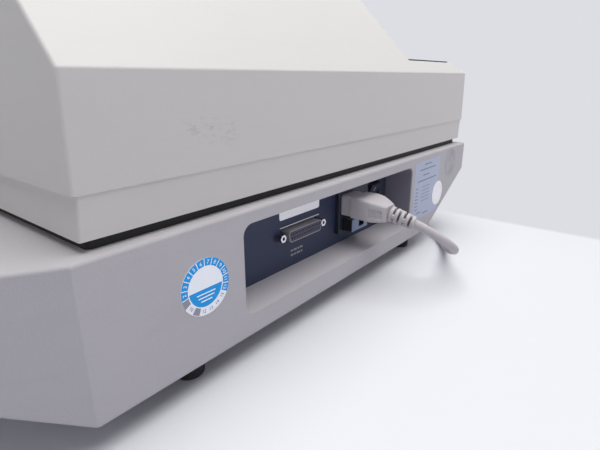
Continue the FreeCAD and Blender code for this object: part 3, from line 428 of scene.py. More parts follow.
def open_edit(piece, select_mode):
    """Make a piece active with nothing in its mesh selected, and set what clicking would select."""
    bpy.context.view_layer.objects.active = piece
    bpy.context.tool_settings.mesh_select_mode = select_mode
    bpy.ops.object.mode_set(mode="EDIT")
    bpy.ops.mesh.select_all(action="DESELECT")
    bpy.ops.object.mode_set(mode="OBJECT")


def edit_faces(piece, test):
    """Open a piece for editing with only the faces that pass the test selected."""
    open_edit(piece, (False, False, True))
    for face in piece.data.polygons:
        face.select = test(face.center, face.normal)
    bpy.ops.object.mode_set(mode="EDIT")


def edit_edges(piece, test):
    """Open a piece for editing with only the edges whose middle and run pass the test selected."""
    open_edit(piece, (False, True, False))
    spots = piece.data.vertices
    for edge in piece.data.edges:
        first, last = (spots[i].co for i in edge.vertices)
        edge.select = test((first + last) / 2, (last - first).normalized())
    bpy.ops.object.mode_set(mode="EDIT")


def close_edit(piece):
    bpy.ops.object.mode_set(mode="OBJECT")
    return piece


def everything(middle, direction):
    return True


def extrude(*move):
    """Extrude what is selected by an offset."""
    bpy.ops.mesh.extrude_region_move(TRANSFORM_OT_translate={"value": move})


def close_solid(piece):
    """Turn all of a piece's faces outward and leave its mesh."""
    bpy.ops.mesh.select_all(action="SELECT")
    bpy.ops.mesh.normals_make_consistent(inside=False)
    return close_edit(piece)


def rounded(piece, test, radius, segments):
    """A piece with the edges that pass the test rounded."""
    edit_edges(piece, test)
    bpy.ops.mesh.bevel(offset=radius, segments=segments, affect="EDGES")
    return close_edit(piece)


def slab(low, high, axis, radius, segments):
    """A block between two corners whose four edges along one axis, 0 to 2, are rounded."""
    return rounded(block(low, high), lambda middle, run: abs(run[axis]) > 0.9, radius, segments)


def hollowed(piece, axis, band):
    """A flat piece opened right through along an axis, which leaves a band of that width."""
    edit_faces(piece, lambda middle, normal: abs(normal[axis]) > 0.9)
    bpy.ops.mesh.inset(thickness=band)
    bpy.ops.mesh.bridge_edge_loops(type="SINGLE")
    return close_edit(piece)


def disc(radius, depth, middle, vertices, tilt=0, ends="NGON"):
    """A round piece about its middle, tilted about X by that many degrees."""
    bpy.ops.object.select_all(action="DESELECT")
    bpy.ops.mesh.primitive_cylinder_add(vertices=vertices, radius=radius, depth=depth, end_fill_type=ends,
                                        rotation=(math.radians(tilt), 0, 0), location=middle)
    bpy.ops.object.transform_apply(location=True, rotation=True, scale=True)
    return bpy.context.object


def with_modifier(piece, kind, **settings):
    """Add one modifier to a piece and apply it."""
    bpy.context.view_layer.objects.active = piece
    modifier = piece.modifiers.new(kind, kind)
    for setting, value in settings.items():
        setattr(modifier, setting, value)
    bpy.ops.object.modifier_apply(modifier=modifier.name)
    return piece


def crisp(piece, width, segments=2):
    """Break a piece's sharp edges with a small bevel."""
    return with_modifier(piece, "BEVEL", width=width, segments=segments, angle_limit=math.radians(50))


def twin(piece, move):
    """A copy with its own mesh, moved by a matrix or an offset."""
    matrix = move if isinstance(move, Matrix) else Matrix.Translation(move)
    made = piece.copy()
    made.data = piece.data.copy()
    made.data.transform(matrix)
    bpy.context.scene.collection.objects.link(made)
    return made


def joined(pieces):
    bpy.ops.object.select_all(action="DESELECT")
    for piece in pieces:
        piece.select_set(True)
    bpy.context.view_layer.objects.active = pieces[0]
    bpy.ops.object.join()
    return pieces[0]


def fitted(piece, name, material, body, smooth=35):
    """Name a finished piece, shade it, give it its material, and fix it to its body."""
    bpy.ops.object.select_all(action="DESELECT")
    piece.select_set(True)
    bpy.context.view_layer.objects.active = piece
    bpy.ops.object.shade_smooth_by_angle(angle=math.radians(smooth))
    piece.name = piece.data.name = name
    if material:
        piece.data.materials.clear()
        piece.data.materials.append(material)
    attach(piece, body)
    return piece


knob_low, knob_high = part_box("lid_knob")
knob_x, knob_y = (knob_low[0] + knob_high[0]) / 2, (knob_low[1] + knob_high[1]) / 2
lid_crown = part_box("lid_shell")[1][2]
white_print = finish("white_print", srgb(232, 233, 234), 0.5, grain=(2500.0, 0.000004), shading=0.94)
dark_print = finish("slate_print", srgb(78, 86, 108), 0.5, grain=(2500.0, 0.000004), shading=0.92)

pointer = slab((knob_x - 0.0008, knob_y - 0.0235, knob_high[2] - 0.0004),
               (knob_x + 0.0008, knob_y - 0.0085, knob_high[2] + 0.00015), 2, 0.0007, 4)
fitted(pointer, "knob_pointer", white_print, "knob")

tick = slab((knob_x - 0.0004, knob_y - 0.0385, lid_crown - 0.0002),
            (knob_x + 0.0004, knob_y - 0.0345, lid_crown + 0.00012), 2, 0.00035, 3)
knob_axis = Matrix.Translation((knob_x, knob_y, 0))
ticks = [tick]
for count in range(1, 12):
    turn = knob_axis @ Matrix.Rotation(math.radians(30 * count), 4, "Z") @ knob_axis.inverted()
    ticks.append(twin(tick, turn))
fitted(joined(ticks), "lid_scale_ticks", dark_print, "lid")

# ---------------------------------------------------------------- control side
# A stiff dark panel is let into the slope, with sixteen sprung keys through it, a display
# behind a smoked window and three lamps.  Each key stands on a switch on the board below.
panel_paint = finish("panel_print", srgb(58, 66, 92), 0.46, grain=(1600.0, 0.00002), shading=0.9, dust=0.08,
                     rub=(0.25, srgb(90, 94, 110)))
dress(panel_paint, "control_panel")
window_tint = finish("smoked_window", srgb(14, 17, 20), 0.12, grain=(60.0, 0.000004), shading=0.8,
                     specular=0.6)
dress(window_tint, "display_window", "display_module")
lamp_red = finish("lamp_lens", srgb(150, 34, 30), 0.2, grain=(400.0, 0.00001), shading=0.75)
dress(lamp_red, "indicator_lights")
key_light = finish("key_cap_light", srgb(222, 220, 214), 0.45, grain=(1800.0, 0.00003), shading=0.93,
                   rub=(0.35, srgb(176, 170, 162)))
key_dark = finish("key_cap_blue", srgb(88, 104, 140), 0.45, grain=(1800.0, 0.00003), shading=0.9,
                  rub=(0.3, srgb(130, 136, 150)))
key_faces = {"key_1": "1", "key_2": "2", "key_3": "3", "key_4": "4", "key_5": "5", "key_6": "6",
             "key_7": "7", "key_8": "8", "key_9": "9", "key_0": "0", "key_point": "."}
action_keys = ("key_up", "key_down", "key_start", "key_enter", "key_stop")
dress(key_light, *key_faces)
dress(key_dark, *action_keys)

press = next(joint for joint in frame["record"]["behaviour"]["joints"] if joint["name"] == "key_1_press")
slope = math.atan2(press["axis"][1], -press["axis"][2])
dish_rise = 0.0031
print_height = 0.0042


def on_cap(name):
    """The matrix that lays a mark, drawn flat about the origin, in the dish of a key's cap."""
    low, high = (Vector(corner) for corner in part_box(name))
    top = Vector(((low.x + high.x) / 2, (low.y + high.y) / 2 - 0.00017, high.z - print_height))
    above = Vector((0, -math.sin(slope), math.cos(slope)))
    return Matrix.Translation(top + above * dish_rise) @ Matrix.Rotation(slope, 4, "X")


def numeral(words, size, thickness):
    """Plain characters as a thin mesh, centred on the origin and facing up."""
    bpy.ops.object.select_all(action="DESELECT")
    bpy.ops.object.text_add(location=(0, 0, 0))
    text = bpy.context.object
    text.data.body = words
    text.data.size = size
    text.data.align_x = "CENTER"
    text.data.align_y = "CENTER"
    text.data.extrude = thickness
    text.data.resolution_u = 3
    bpy.ops.object.convert(target="MESH")
    return bpy.context.object


def flat_mark(corners, size, thickness, turn=0.0):
    """A flat regular outline with that many corners, made solid."""
    bpy.ops.object.select_all(action="DESELECT")
    bpy.ops.mesh.primitive_circle_add(vertices=corners, radius=size, fill_type="NGON", location=(0, 0, 0),
                                      rotation=(0, 0, math.radians(turn)))
    mark = bpy.context.object
    bpy.ops.object.transform_apply(location=True, rotation=True, scale=True)
    edit_faces(mark, everything)
    extrude(0, 0, thickness)
    return close_solid(mark)


for cap, words in key_faces.items():
    legend = numeral(words, 0.0068, 0.0001)
    legend.data.transform(on_cap(cap))
    fitted(legend, cap + "_legend", dark_print, cap + "_cap")
for cap, corners, turn in (("key_up", 3, 0), ("key_down", 3, 180), ("key_start", 3, -90),
                           ("key_stop", 4, 45), ("key_enter", 24, 0)):
    mark = flat_mark(corners, 0.0026, 0.0002, turn)
    if cap == "key_enter":
        hollowed(mark, 2, 0.0008)
    mark.data.transform(on_cap(cap))
    fitted(mark, cap + "_mark", white_print, cap + "_cap")

panel_low, panel_high = (Vector(corner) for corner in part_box("control_panel"))
panel_sheet = 0.0015


def panel_outline(width, length, line, middle_y):
    """A fine printed frame on the sloping panel, round a spot at that depth."""
    outline = slab((-width / 2, -length / 2, -0.00005), (width / 2, length / 2, 0.00012), 2, 0.002, 5)
    hollowed(outline, 2, line)
    rear_edge = panel_high.y - panel_sheet * math.sin(slope)
    spot = Vector(((panel_low.x + panel_high.x) / 2, middle_y,
                   panel_high.z + (middle_y - rear_edge) * math.tan(slope)))
    outline.data.transform(Matrix.Translation(spot) @ Matrix.Rotation(slope, 4, "X"))
    return outline


window_low, window_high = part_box("display_window")
near_row, far_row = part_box("key_0")[0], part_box("key_1")[1]
print_lines = [panel_outline(0.0855, 0.0455, 0.0006, (window_low[1] + window_high[1]) / 2),
               panel_outline(0.0855, 0.0885, 0.0006, (near_row[1] + far_row[1]) / 2)]
fitted(joined(print_lines), "panel_print_lines", white_print, "case")

# ---------------------------------------------------------------- connector bay
# A printed steel panel closes the back of the bay.  It carries the serial connector between two
# jack screws, and the moulded mains module with its socket, rocker switch and fuse drawer.
bay_print = finish("bay_panel_print", srgb(54, 64, 92), 0.5, grain=(1500.0, 0.00002), shading=0.88,
                   dust=0.15, rub=(0.15, srgb(84, 90, 112)))
dress(bay_print, "connector_panel")
bright_shell = finish("tin_plated_shell", srgb(186, 182, 184), 0.42, metallic=0.45, grain=(260.0, 0.00001),
                      shading=0.85)
dress(bright_shell, "serial_shell")
insulator = finish("insulator_slate", srgb(90, 88, 106), 0.5, grain=(1500.0, 0.00002), shading=0.9)
dress(insulator, "serial_insert")
dress(zinc, "inlet_blades")
screw_black = finish("blacked_screws", srgb(70, 74, 92), 0.4, grain=(600.0, 0.00001), shading=0.8)
screw_tree = screw_black.node_tree
# the screws' bare front faces: near-white and partly metallic, with a glow that is a painted highlight
screw_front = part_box("jack_screws")[1][1]
screw_front_highlight = span_node(screw_tree, along(screw_tree, "Y"), screw_front - 0.0005, screw_front - 0.0002)
tinted(screw_black, screw_front_highlight, srgb(238, 238, 244))
screw_inputs = screw_tree.nodes["Principled BSDF"].inputs
feed(screw_tree, ((screw_inputs["Metallic"], times(screw_tree, screw_front_highlight, 0.35)),
                  (screw_inputs["Emission Strength"], times(screw_tree, screw_front_highlight, 0.25)),
                  (screw_inputs["Emission Color"], (0.85, 0.86, 0.9, 1.0))))
dress(screw_black, "jack_screws")
drawer_plastic = finish("fuse_drawer_blue", srgb(150, 168, 200), 0.45, grain=(1400.0, 0.00003),
                        shading=0.92)
module_plastic = finish("module_moulding", srgb(44, 50, 66), 0.45, grain=(1400.0, 0.00003), shading=0.88,
                        wear=(0.0006, srgb(96, 102, 118), 0.4), dust=0.2)
dress(module_plastic, "power_inlet", "switch_rocker")
dress(dark_plastic, "fuse_drawer")
fuse_glass = finish("fuse_glass_and_caps", srgb(186, 192, 196), 0.18, metallic=0.6, grain=(400.0, 0.000006),
                    shading=0.8)
dress(fuse_glass, "fuses")

# the drawer's pale front, cut out round the finger notch
drawer_low, drawer_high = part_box("fuse_drawer")
face_front, face_back = drawer_high[1] + 0.0004, drawer_high[1] - 0.0001
notch_left, notch_right, notch_floor = -0.0699, -0.0621, 0.0454
bpy.ops.object.select_all(action="DESELECT")
bpy.ops.mesh.primitive_plane_add(size=1, rotation=(math.radians(-90), 0, 0),
                                 location=((drawer_low[0] + drawer_high[0]) / 2, face_back,
                                           (drawer_low[2] + drawer_high[2]) / 2))
drawer_face = bpy.context.object
drawer_face.scale = (drawer_high[0] - drawer_low[0] - 0.0006, drawer_high[2] - drawer_low[2] - 0.0006, 1)
bpy.ops.object.transform_apply(location=True, rotation=True, scale=True)
for cut_at, cut_way in (((notch_left, 0, 0), (1, 0, 0)), ((notch_right, 0, 0), (1, 0, 0)),
                        ((0, 0, notch_floor), (0, 0, 1))):
    edit_faces(drawer_face, everything)
    bpy.ops.mesh.bisect(plane_co=cut_at, plane_no=cut_way)
    close_edit(drawer_face)
edit_faces(drawer_face, lambda middle, normal:
           notch_left < middle.x < notch_right and middle.z > notch_floor)
bpy.ops.mesh.delete(type="FACE")
close_edit(drawer_face)
edit_faces(drawer_face, everything)
extrude(0, face_front - face_back, 0)
crisp(close_solid(drawer_face), 0.0003)
fitted(drawer_face, "drawer_face", drawer_plastic, "fuse_tray")

# the rocker's two marks, a bar and a ring, printed on its halves
throw = next(joint for joint in frame["record"]["behaviour"]["joints"] if joint["name"] == "rocker_throw")
pivot = Vector(throw["pos_m"])
crease = pivot + Vector((0, 0.0060, -0.00106))
bar = slab((-0.00035, -0.002, 0), (0.00035, 0.002, 0.00012), 2, 0.0003, 3)
ring = hollowed(flat_mark(32, 0.002, 0.00012), 2, 0.0006)
for mark, half_end in ((bar, Vector((0, 0.00961, 0.00785))), (ring, Vector((0, 0.00635, -0.01067)))):
    run = (pivot + half_end - crease).normalized()
    out = Vector((0, abs(run.z), -run.y * math.copysign(1, run.z)))
    frame_of_half = Matrix((Vector((1, 0, 0)), out.cross(Vector((1, 0, 0))), out)).transposed().to_4x4()
    middle = (crease + pivot + half_end) / 2
    mark.data.transform(Matrix.Translation(middle) @ frame_of_half)
fitted(joined([bar, ring]), "rocker_marks", white_print, "rocker")

# twenty-five turned contacts in the serial insert's holes
bay_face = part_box("connector_panel")[1][1]
insert_low, insert_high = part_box("serial_insert")
contact_gold = finish("gold_flash", srgb(214, 180, 104), 0.3, metallic=1.0, grain=(900.0, 0.000004),
                      shading=0.85)
contact_z = (insert_low[2] + insert_high[2]) / 2
contact = disc(0.00052, 0.0018, (0, insert_high[1] - 0.0019, contact_z), 12, tilt=90, ends="NOTHING")
with_modifier(contact, "SOLIDIFY", thickness=0.00016, offset=-1)
contacts = [contact]
for count, rise in ((13, 0.00142), (12, -0.00142)):
    for i in range(count):
        contacts.append(twin(contact, ((i - (count - 1) / 2) * 0.00277, 0, rise)))
bpy.data.objects.remove(contacts.pop(0))
fitted(joined(contacts), "serial_contacts", contact_gold, "case")

# a thin near-white glowing strip along the shell's flange, seen over the connector: a painted highlight on its
# rolled edge
flange_low, flange_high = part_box("serial_shell")
flange_edge = rounded(block((flange_low[0] + 0.004, bay_face, flange_high[2] - 0.0002),
                            (flange_high[0] - 0.004, bay_face + 0.0009, flange_high[2] + 0.0003)),
                      lambda middle, run: abs(run.z) < 0.1, 0.0002, 2)
flange_highlight_metal = finish("flange_edge_painted_highlight", srgb(236, 236, 240), 0.35, metallic=0.3,
                      grain=(900.0, 0.000004), shading=0.92, painted_glow=0.15)
fitted(flange_edge, "flange_edge", flange_highlight_metal, "case")

# two rows of plain dashes stand where the port's printed legend is
dashes = []
dash_start, dash_gap, half_dash = 0.0104, 0.0010, 0.0007
for row_z, lengths in ((0.0428, (0.0022, 0.0036, 0.0018, 0.0030)),
                       (0.0394, (0.0030, 0.0018, 0.0040, 0.0016))):
    left = dash_start
    for length in lengths:
        dashes.append(block((left - length, bay_face - 0.00003, row_z - half_dash),
                            (left, bay_face + 0.00006, row_z + half_dash)))
        left -= length + dash_gap
port_ink = finish("port_ink", srgb(176, 178, 188), 0.55, grain=(2500.0, 0.000004), shading=0.92)
fitted(joined(dashes), "port_dashes", port_ink, "case")

# a bare white paper strip stuck on the bay's panel above the serial connector; its paper glows faintly,
# painted light that brightens it in the bay's shade
paper = finish("label_paper_painted_glow", srgb(246, 245, 248), 0.6, grain=(1800.0, 0.00001), shading=0.97,
               rub=(0.12, srgb(210, 208, 208)), painted_glow=0.2)
strip = slab((-0.0235, bay_face - 0.00005, 0.0684), (0.0225, bay_face + 0.00015, 0.0804), 1, 0.0016, 5)
fitted(strip, "asset_strip", paper, "case")

# ---------------------------------------------------------------- plates and stickers on the base
# The rating plate is silver-blue foil with bare printed rules.  Beside it is a plain white paper
# dot, and left of the bay a vinyl inspection sticker with its ring of months and its years.
rear_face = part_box("base_housing")[1][1]
foil = finish("rating_foil", srgb(202, 211, 234), 0.42, grain=(1600.0, 0.000008), shading=0.95,
              rub=(0.25, srgb(168, 176, 200)))
plate = slab((-0.1935, rear_face - 0.0001, 0.032), (-0.1365, rear_face + 0.00015, 0.088), 1, 0.0018, 5)
fitted(plate, "rating_plate", foil, "case")

rule = slab((-0.5, rear_face, -0.0004), (0.5, rear_face + 0.0002, 0.0004), 1, 0.0002, 2)
rule_sizes = [(-0.165, 0.0845, 0.016, 1.2), (-0.165, 0.0800, 0.036, 1.2), (-0.162, 0.0745, 0.014, 1.2),
              (-0.165, 0.0695, 0.042, 1.2), (-0.166, 0.0360, 0.012, 1.2), (-0.150, 0.0385, 0.010, 1.2)]
for row in range(7):
    high = 0.0630 - 0.0034 * row
    rule_sizes.append((-0.1435, high, 0.0055, 1))
    if row < 5:
        rule_sizes.append((-0.163, high, 0.018, 0.6))
rules = [twin(rule, Matrix.Translation((middle_x, 0, high)) @ Matrix.Diagonal((long, 1, thick, 1)))
         for middle_x, high, long, thick in rule_sizes]
bpy.data.objects.remove(rule)
plate_ink = finish("plate_ink", srgb(128, 138, 166), 0.5, grain=(2500.0, 0.000004), shading=0.92)
fitted(joined(rules), "rating_rules", plate_ink, "case")

# the dot shares the paper's faint glow, which is painted light
dot = disc(0.01225, 0.0004, (-0.1935, rear_face + 0.0001, 0.050), 72, tilt=-90)
edit_faces(dot, lambda middle, normal: normal.y > 0.9)
bpy.ops.mesh.inset(thickness=0.0012, depth=-0.00004)
close_edit(dot)
crisp(dot, 0.00006)
fitted(dot, "paper_dot", paper, "case")

# the inspection sticker: twelve blue month cells, four white year cells, two of them punched out
sticker_x, sticker_z, sticker_radius = 0.1099, 0.0604, 0.0157
ring_inside, ring_outside, field_radius = 0.0115, 0.0153, 0.0110
half_line = sticker_z - 0.0007
# the white and blue vinyl glow faintly: painted light that brightens the sticker
vinyl_white_painted_glow = finish("vinyl_white_painted_glow", srgb(244, 248, 255), 0.4, grain=(1500.0, 0.000006),
                     shading=0.97, painted_glow=0.22)
vinyl_blue_painted_glow = finish("vinyl_blue_painted_glow", srgb(0, 158, 236), 0.38, grain=(1500.0, 0.000006),
                    shading=0.95, painted_glow=0.16)
year_ink = finish("year_ink", srgb(20, 92, 168), 0.4, grain=(1500.0, 0.000006), shading=0.93)
punched = finish("punched_cell", srgb(176, 174, 184), 0.6, grain=(1500.0, 0.00001), shading=0.9)
sticker = disc(sticker_radius, 0.0003, (sticker_x, rear_face + 0.0001, sticker_z), 360, tilt=-90)
edit_faces(sticker, lambda middle, normal: normal.y > 0.9)
bpy.ops.mesh.inset(thickness=0.0003)
bpy.ops.mesh.inset(thickness=0.0039)
bpy.ops.mesh.inset(thickness=0.0006)
bpy.ops.mesh.bisect(plane_co=(sticker_x, rear_face, half_line), plane_no=(0, 0, 1))
close_edit(sticker)
for material in (vinyl_white_painted_glow, vinyl_blue_painted_glow, punched):
    sticker.data.materials.append(material)
month_start, month_step, months = -110.0, 20.0, 12


def clock_angle(spot):
    """Degrees clockwise from the top, as seen from behind the instrument."""
    return math.degrees(math.atan2(sticker_x - spot.x, spot.z - sticker_z))


for face in sticker.data.polygons:
    if face.normal.y < 0.9:
        continue
    from_middle = math.hypot(face.center.x - sticker_x, face.center.z - sticker_z)
    angle = clock_angle(face.center)
    place_in_ring = (angle - month_start + month_step / 2) / month_step
    share = place_in_ring % 1
    if from_middle > ring_inside and 0 <= place_in_ring < months:
        divider = min(share, 1 - share) < 0.03 and from_middle < ring_outside
        face.material_index = 0 if divider else (2 if place_in_ring < 1 else 1)
    elif ring_inside < from_middle < ring_outside and -2 <= place_in_ring < -1 and 0.04 < share < 0.96:
        face.material_index = 2
    elif from_middle < field_radius and face.center.z < half_line:
        face.material_index = 1
fitted(sticker, "inspection_sticker", None, "case")

numbers_radius = 0.01345
month_marks = [(str(month), month_start + month_step * (month - 1)) for month in range(2, months + 1)]
year_marks = [("10", -130.0), ("12", -170.0), ("13", 170.0), ("14", 150.0), ("15", 130.0)]
for name, ink, marks, size, flip in (("sticker_months", vinyl_white_painted_glow, month_marks, 0.0030, 0),
                                     ("sticker_years", year_ink, year_marks, 0.0028, math.pi)):
    numbers = []
    for words, angle in marks:
        number = numeral(words, size, 0.00004)
        stand = Matrix.Translation((sticker_x, rear_face + 0.00027, sticker_z))
        stand = stand @ Matrix.Rotation(math.radians(-angle), 4, "Y")
        upright = Matrix.Rotation(flip, 4, "Y") @ Matrix.Rotation(math.pi, 4, "Z")
        upright = upright @ Matrix.Rotation(math.radians(90), 4, "X")
        number.data.transform(stand @ Matrix.Translation((0, 0, numbers_radius)) @ upright)
        numbers.append(number)
    fitted(joined(numbers), name, ink, "case")
lines = []
sticker_line = slab((sticker_x - 0.0062, rear_face + 0.0002, -0.0003),
                    (sticker_x + 0.0062, rear_face + 0.0003, 0.0003), 1, 0.00025, 2)
for drop, share in ((0.0034, 1.0), (0.0054, 0.86), (0.0074, 0.6)):
    lower = Matrix.Translation((sticker_x * (1 - share), 0, sticker_z - drop))
    lines.append(twin(sticker_line, lower @ Matrix.Diagonal((share, 1, 1, 1))))
bpy.data.objects.remove(sticker_line)
fitted(joined(lines), "sticker_rules", vinyl_white_painted_glow, "case")

# ---------------------------------------------------------------- mains lead
# A round three-core lead in pale grey PVC.  It leaves the moulded connector through its strain
# relief, falls to the table and runs forward past the instrument's side, where the length that
# isn't needed lies wound in a tied coil beside its wall plug.
lead_grey = srgb(214, 208, 210)
lead_plastic = finish("lead_pvc", lead_grey, 0.5, grain=(700.0, 0.00002), shading=0.93,
                      rub=(0.2, srgb(172, 164, 164)))
lead_diameter = 0.007
lead_exit = (-0.0602, 0.2008, 0.0625)
lead_route = [lead_exit, (-0.0626, 0.2193, 0.0584), (-0.0716, 0.2347, 0.0485), (-0.087, 0.2423, 0.0371),
              (-0.1048, 0.2399, 0.0267), (-0.1325, 0.2234, 0.016), (-0.1686, 0.2082, 0.0042),
              (-0.1961, 0.1893, 0.0038), (-0.213, 0.172, 0.0037), (-0.232, 0.145, 0.0036),
              (-0.2405, 0.115, 0.0036), (-0.2415, 0.086, 0.0036)]
tail_route = [(-0.2438, 0.045, 0.0249), (-0.2462, 0.033, 0.0215), (-0.2475, 0.024, 0.0203)]
coil_centre = (-0.283, 0.060)
outer_turn, inner_turn = 0.0421, 0.0346
layer_rise = 0.0071
coil_turns = 6
points_per_turn = 16


def eased(angle, start, end):
    """0 before start, 1 after end, and smooth between, for a step from one turn to the next."""
    share = min(max((angle - start) / (end - start), 0.0), 1.0)
    return share * share * (3 - 2 * share)


wound_points = []
for step in range(coil_turns * points_per_turn + 1):
    turned = 360 * step / points_per_turn
    column = eased(turned, 270, 330) - eased(turned, 900, 960) + eased(turned, 1500, 1560)
    radius = outer_turn + (inner_turn - outer_turn) * (column - 0.5 * eased(turned, 1860, 1950))
    layer = eased(turned, 600, 660) + eased(turned, 1200, 1260) + eased(turned, 1800, 1860)
    height = 0.0036 + layer_rise * layer
    wound_points.append((coil_centre[0] + radius * math.cos(math.radians(-turned)),
                         coil_centre[1] + radius * math.sin(math.radians(-turned)), height))

lead_curve = bpy.data.curves.new("mains_lead", "CURVE")
lead_curve.dimensions = "3D"
lead_line = lead_curve.splines.new("NURBS")
lead_points = lead_route + wound_points + tail_route
lead_line.points.add(len(lead_points) - 1)
for point, spot in zip(lead_line.points, lead_points):
    point.co = (*spot, 1.0)
lead_line.order_u = 3
lead_line.use_endpoint_u = True
lead_line.resolution_u = 8
mains_lead = bpy.data.objects.new("mains_lead", lead_curve)
bpy.context.scene.collection.objects.link(mains_lead)
bpy.context.view_layer.update()
line_mesh = bpy.data.meshes.new_from_object(mains_lead)
line_spots = [v.co.copy() for v in line_mesh.vertices]
bpy.data.meshes.remove(line_mesh)
lead_length = sum((b - a).length for a, b in zip(line_spots, line_spots[1:]))
lead_curve.bevel_depth = lead_diameter / 2
lead_curve.bevel_resolution = 4
lead_curve.use_fill_caps = True
lead_curve.materials.append(lead_plastic)
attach(mains_lead, "case")
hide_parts("mains_cord", "cord_coil", "cord_tail")

# two nylon ties hold the coil's turns together
tie_nylon = finish("tie_nylon", srgb(188, 190, 194), 0.45, grain=(1500.0, 0.00001), shading=0.9)
tie = block((0.0306, -0.003, 0.00005), (0.0461, 0.003, 0.029))
for high, radius in ((True, 0.006), (False, 0.0025)):
    rounded(tie, lambda middle, run: abs(run.y) > 0.9 and (middle.z > 0.02) == high, radius, 5)
hollowed(tie, 1, 0.0006)
crisp(tie, 0.0002)
coil_axis = Matrix.Translation((*coil_centre, 0))
ties = [twin(tie, coil_axis @ Matrix.Rotation(math.radians(turn), 4, "Z")) for turn in (-150, -300)]
bpy.data.objects.remove(tie)
fitted(joined(ties), "coil_ties", tie_nylon, "case")

# the strain relief: collars that shrink towards the lead, on a core, joined by bridges turned
# a quarter from one gap to the next
relief_start, relief_pitch, collar_width, core_radius = 0.0007, 0.0041, 0.0026, 0.0036
collar_radii = (0.0063, 0.0053)
collar_count = 5


def on_line(distance):
    """The matrix that stands a piece made along +Z on the lead's line, that far from its start."""
    for first, last in zip(line_spots, line_spots[1:]):
        run = (last - first).length
        if distance <= run:
            way = (last - first).normalized()
            stance = way.to_track_quat("Z", "Y").to_matrix().to_4x4()
            return Matrix.Translation(first + way * distance) @ stance
        distance -= run


# painted shade: the faces deep in the slots between collars take a darker colour
slot_painted_shade = finish("slot_painted_shade", srgb(98, 92, 98), 0.7, grain=(900.0, 0.00002), shading=0.8)
relief_pieces = []
for count in range(collar_count):
    radius = collar_radii[0] + (collar_radii[1] - collar_radii[0]) * count / (collar_count - 1)
    collar = disc(radius, collar_width, (0, 0, collar_width / 2), 40)
    edit_faces(collar, lambda middle, normal: abs(normal.z) > 0.9)
    bpy.ops.mesh.inset(thickness=radius - core_radius, depth=0.0)
    close_edit(collar)
    edit_faces(collar, lambda middle, normal: normal.z > 0.9 and middle.xy.length < 0.001)
    extrude(0, 0, relief_pitch - collar_width + 0.0002)
    close_edit(collar)
    crisp(collar, 0.0004, 3)
    relief_pieces.append(collar)
    collar.data.materials.append(lead_plastic)
    collar.data.materials.append(slot_painted_shade)
    station = on_line(relief_start + relief_pitch * count)
    if count == collar_count - 1:
        collar.data.transform(station)
        continue
    # the faces round the core take the darker colour, painted shade in the slots
    for face in collar.data.polygons:
        if face.center.z > collar_width - 0.0001 and face.center.xy.length < core_radius + 0.0003:
            face.material_index = 1
    collar.data.transform(station)
    for side in (-1, 1):
        quarter = Matrix.Rotation(math.radians(90 * (count % 2)), 4, "Z")
        inner, outer = sorted((side * (core_radius - 0.0004), side * (radius - 0.0004)))
        bridge = block((inner, -0.0016, collar_width - 0.0003), (outer, 0.0016, relief_pitch + 0.0003))
        bridge.data.materials.append(lead_plastic)
        with_modifier(bridge, "BEVEL", width=0.0003, segments=2)
        bridge.data.transform(station @ quarter)
        relief_pieces.append(bridge)
relief = fitted(joined(relief_pieces), "ribbed_relief", None, "case")
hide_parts("strain_relief")

# the connector: a nose for the socket, a fine seam, then a body drawn in and drooping to the rear
nose_half_x, nose_half_z, corner = 0.0110, 0.0083, 0.0024
socket_x, socket_z = lead_exit[0], 0.0645
droop_start, droop_run, full_droop = 0.1833, 0.0175, 0.002
connector_rings = [(0.0110, 0.0083, 0.1718), (0.0102, 0.0075, 0.1718), (0.0102, 0.0075, 0.1728),
                   (0.0132, 0.0087, 0.1728), (0.0132, 0.0087, 0.1736), (0.01335, 0.00875, 0.1785),
                   (0.0134, 0.0088, 0.1833), (0.0131, 0.0087, 0.1864), (0.01285, 0.00862, 0.1885)]
groove_start, groove_step, groove_count = 0.1885, 0.0008, 12
for count in range(1, groove_count + 1):
    far = groove_start + groove_step * count
    share = (far - groove_start) / (lead_exit[1] - groove_start)
    connector_rings.append((0.01285 - 0.00585 * share ** 1.25, 0.00862 - 0.00242 * share ** 1.2, far))
connector_rings += [(0.0076, 0.0064, 0.1996), (0.0070, 0.0060, 0.2008)]
connector = slab((socket_x - nose_half_x, 0.1500, socket_z - nose_half_z),
                 (socket_x + nose_half_x, 0.1600, socket_z + nose_half_z), 1, corner, 6)
for level in (-0.0043, 0.0024):
    edit_faces(connector, everything)
    bpy.ops.mesh.bisect(plane_co=(0, 0, socket_z + level), plane_no=(0, 0, 1))
    close_edit(connector)
edit_faces(connector, lambda middle, normal: normal.y > 0.9)
half_x, half_z, reach_y, droop = nose_half_x, nose_half_z, 0.1600, 0.0
for wide, high, far in connector_rings:
    sag = -full_droop * max(0.0, (far - droop_start) / droop_run)
    extrude(0, far - reach_y, sag - droop)
    bpy.ops.transform.resize(value=(wide / half_x, 1, high / half_z),
                             center_override=(socket_x, far, socket_z + sag))
    half_x, half_z, reach_y, droop = wide, high, far, sag
bpy.ops.mesh.select_all(action="SELECT")
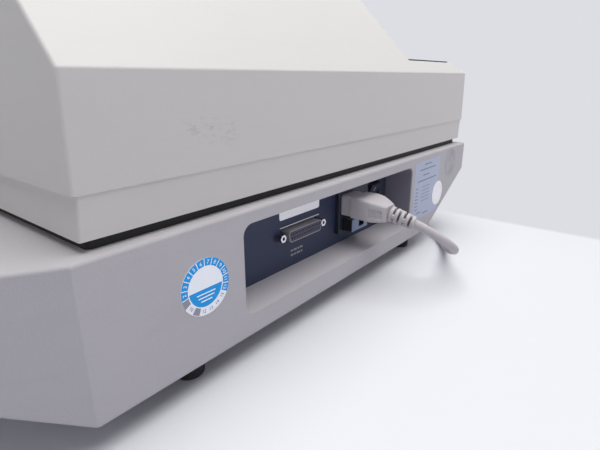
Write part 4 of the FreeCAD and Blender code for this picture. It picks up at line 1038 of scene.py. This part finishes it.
bpy.ops.mesh.remove_doubles(threshold=0.000001)
close_solid(connector)


def in_recess(middle, normal, start, end):
    """Whether a face lies on a flank, between the two levels cut there and between two depths."""
    level = middle.z - socket_z + full_droop * max(0.0, (middle.y - droop_start) / droop_run)
    return start < middle.y < end and abs(normal.x) > 0.75 and -0.004 < level < 0.0022


groove_end = groove_start + groove_step * groove_count
edit_faces(connector, lambda middle, normal: in_recess(middle, normal, groove_start, groove_end))
bpy.ops.mesh.inset(thickness=0.0002, depth=-0.0009)
close_edit(connector)
floor_depths = sorted(face.center.y for face in connector.data.polygons
                      if face.center.x > socket_x
                      and in_recess(face.center, face.normal, groove_start, groove_end))
rib_depths = floor_depths[1::2]
edit_faces(connector, lambda middle, normal: in_recess(middle, normal, groove_start, groove_end)
           and min(abs(middle.y - depth) for depth in rib_depths) < 0.0001)
bpy.ops.mesh.inset(thickness=0.00008, depth=0.0007, use_individual=True)
close_edit(connector)
crisp(connector, 0.00018)
fitted(connector, "moulded_connector", lead_plastic, "case", smooth=30)
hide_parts("mains_connector")

# the wall plug: the same plastic, with bright pins beyond its face
pin_metal = finish("plug_body_and_pins", lead_grey, 0.5, grain=(700.0, 0.00002), shading=0.93,
                   rub=(0.2, srgb(172, 164, 164)))
pin_tree = pin_metal.node_tree
plug_reach = add_node(pin_tree, "VectorMath", operation="DOT_PRODUCT")
plug_way = Vector((-0.116, -0.993, -0.017)).normalized()
plug_face = plug_way.dot(Vector(tail_route[-1])) + 0.052
feed(pin_tree, ((plug_reach.inputs[0], object_place(pin_tree)), (plug_reach.inputs[1], plug_way)))
pins = span_node(pin_tree, plug_reach.outputs["Value"], plug_face - 0.0002, plug_face + 0.0002)
tinted(pin_metal, pins, srgb(206, 198, 176))
pin_gloss = math_node(pin_tree, "ADD", 0.5, times(pin_tree, pins, -0.22))
pin_inputs = pin_tree.nodes["Principled BSDF"].inputs
feed(pin_tree, ((pin_inputs["Metallic"], pins), (pin_inputs["Roughness"], pin_gloss)))
dress(pin_metal, "wall_plug")
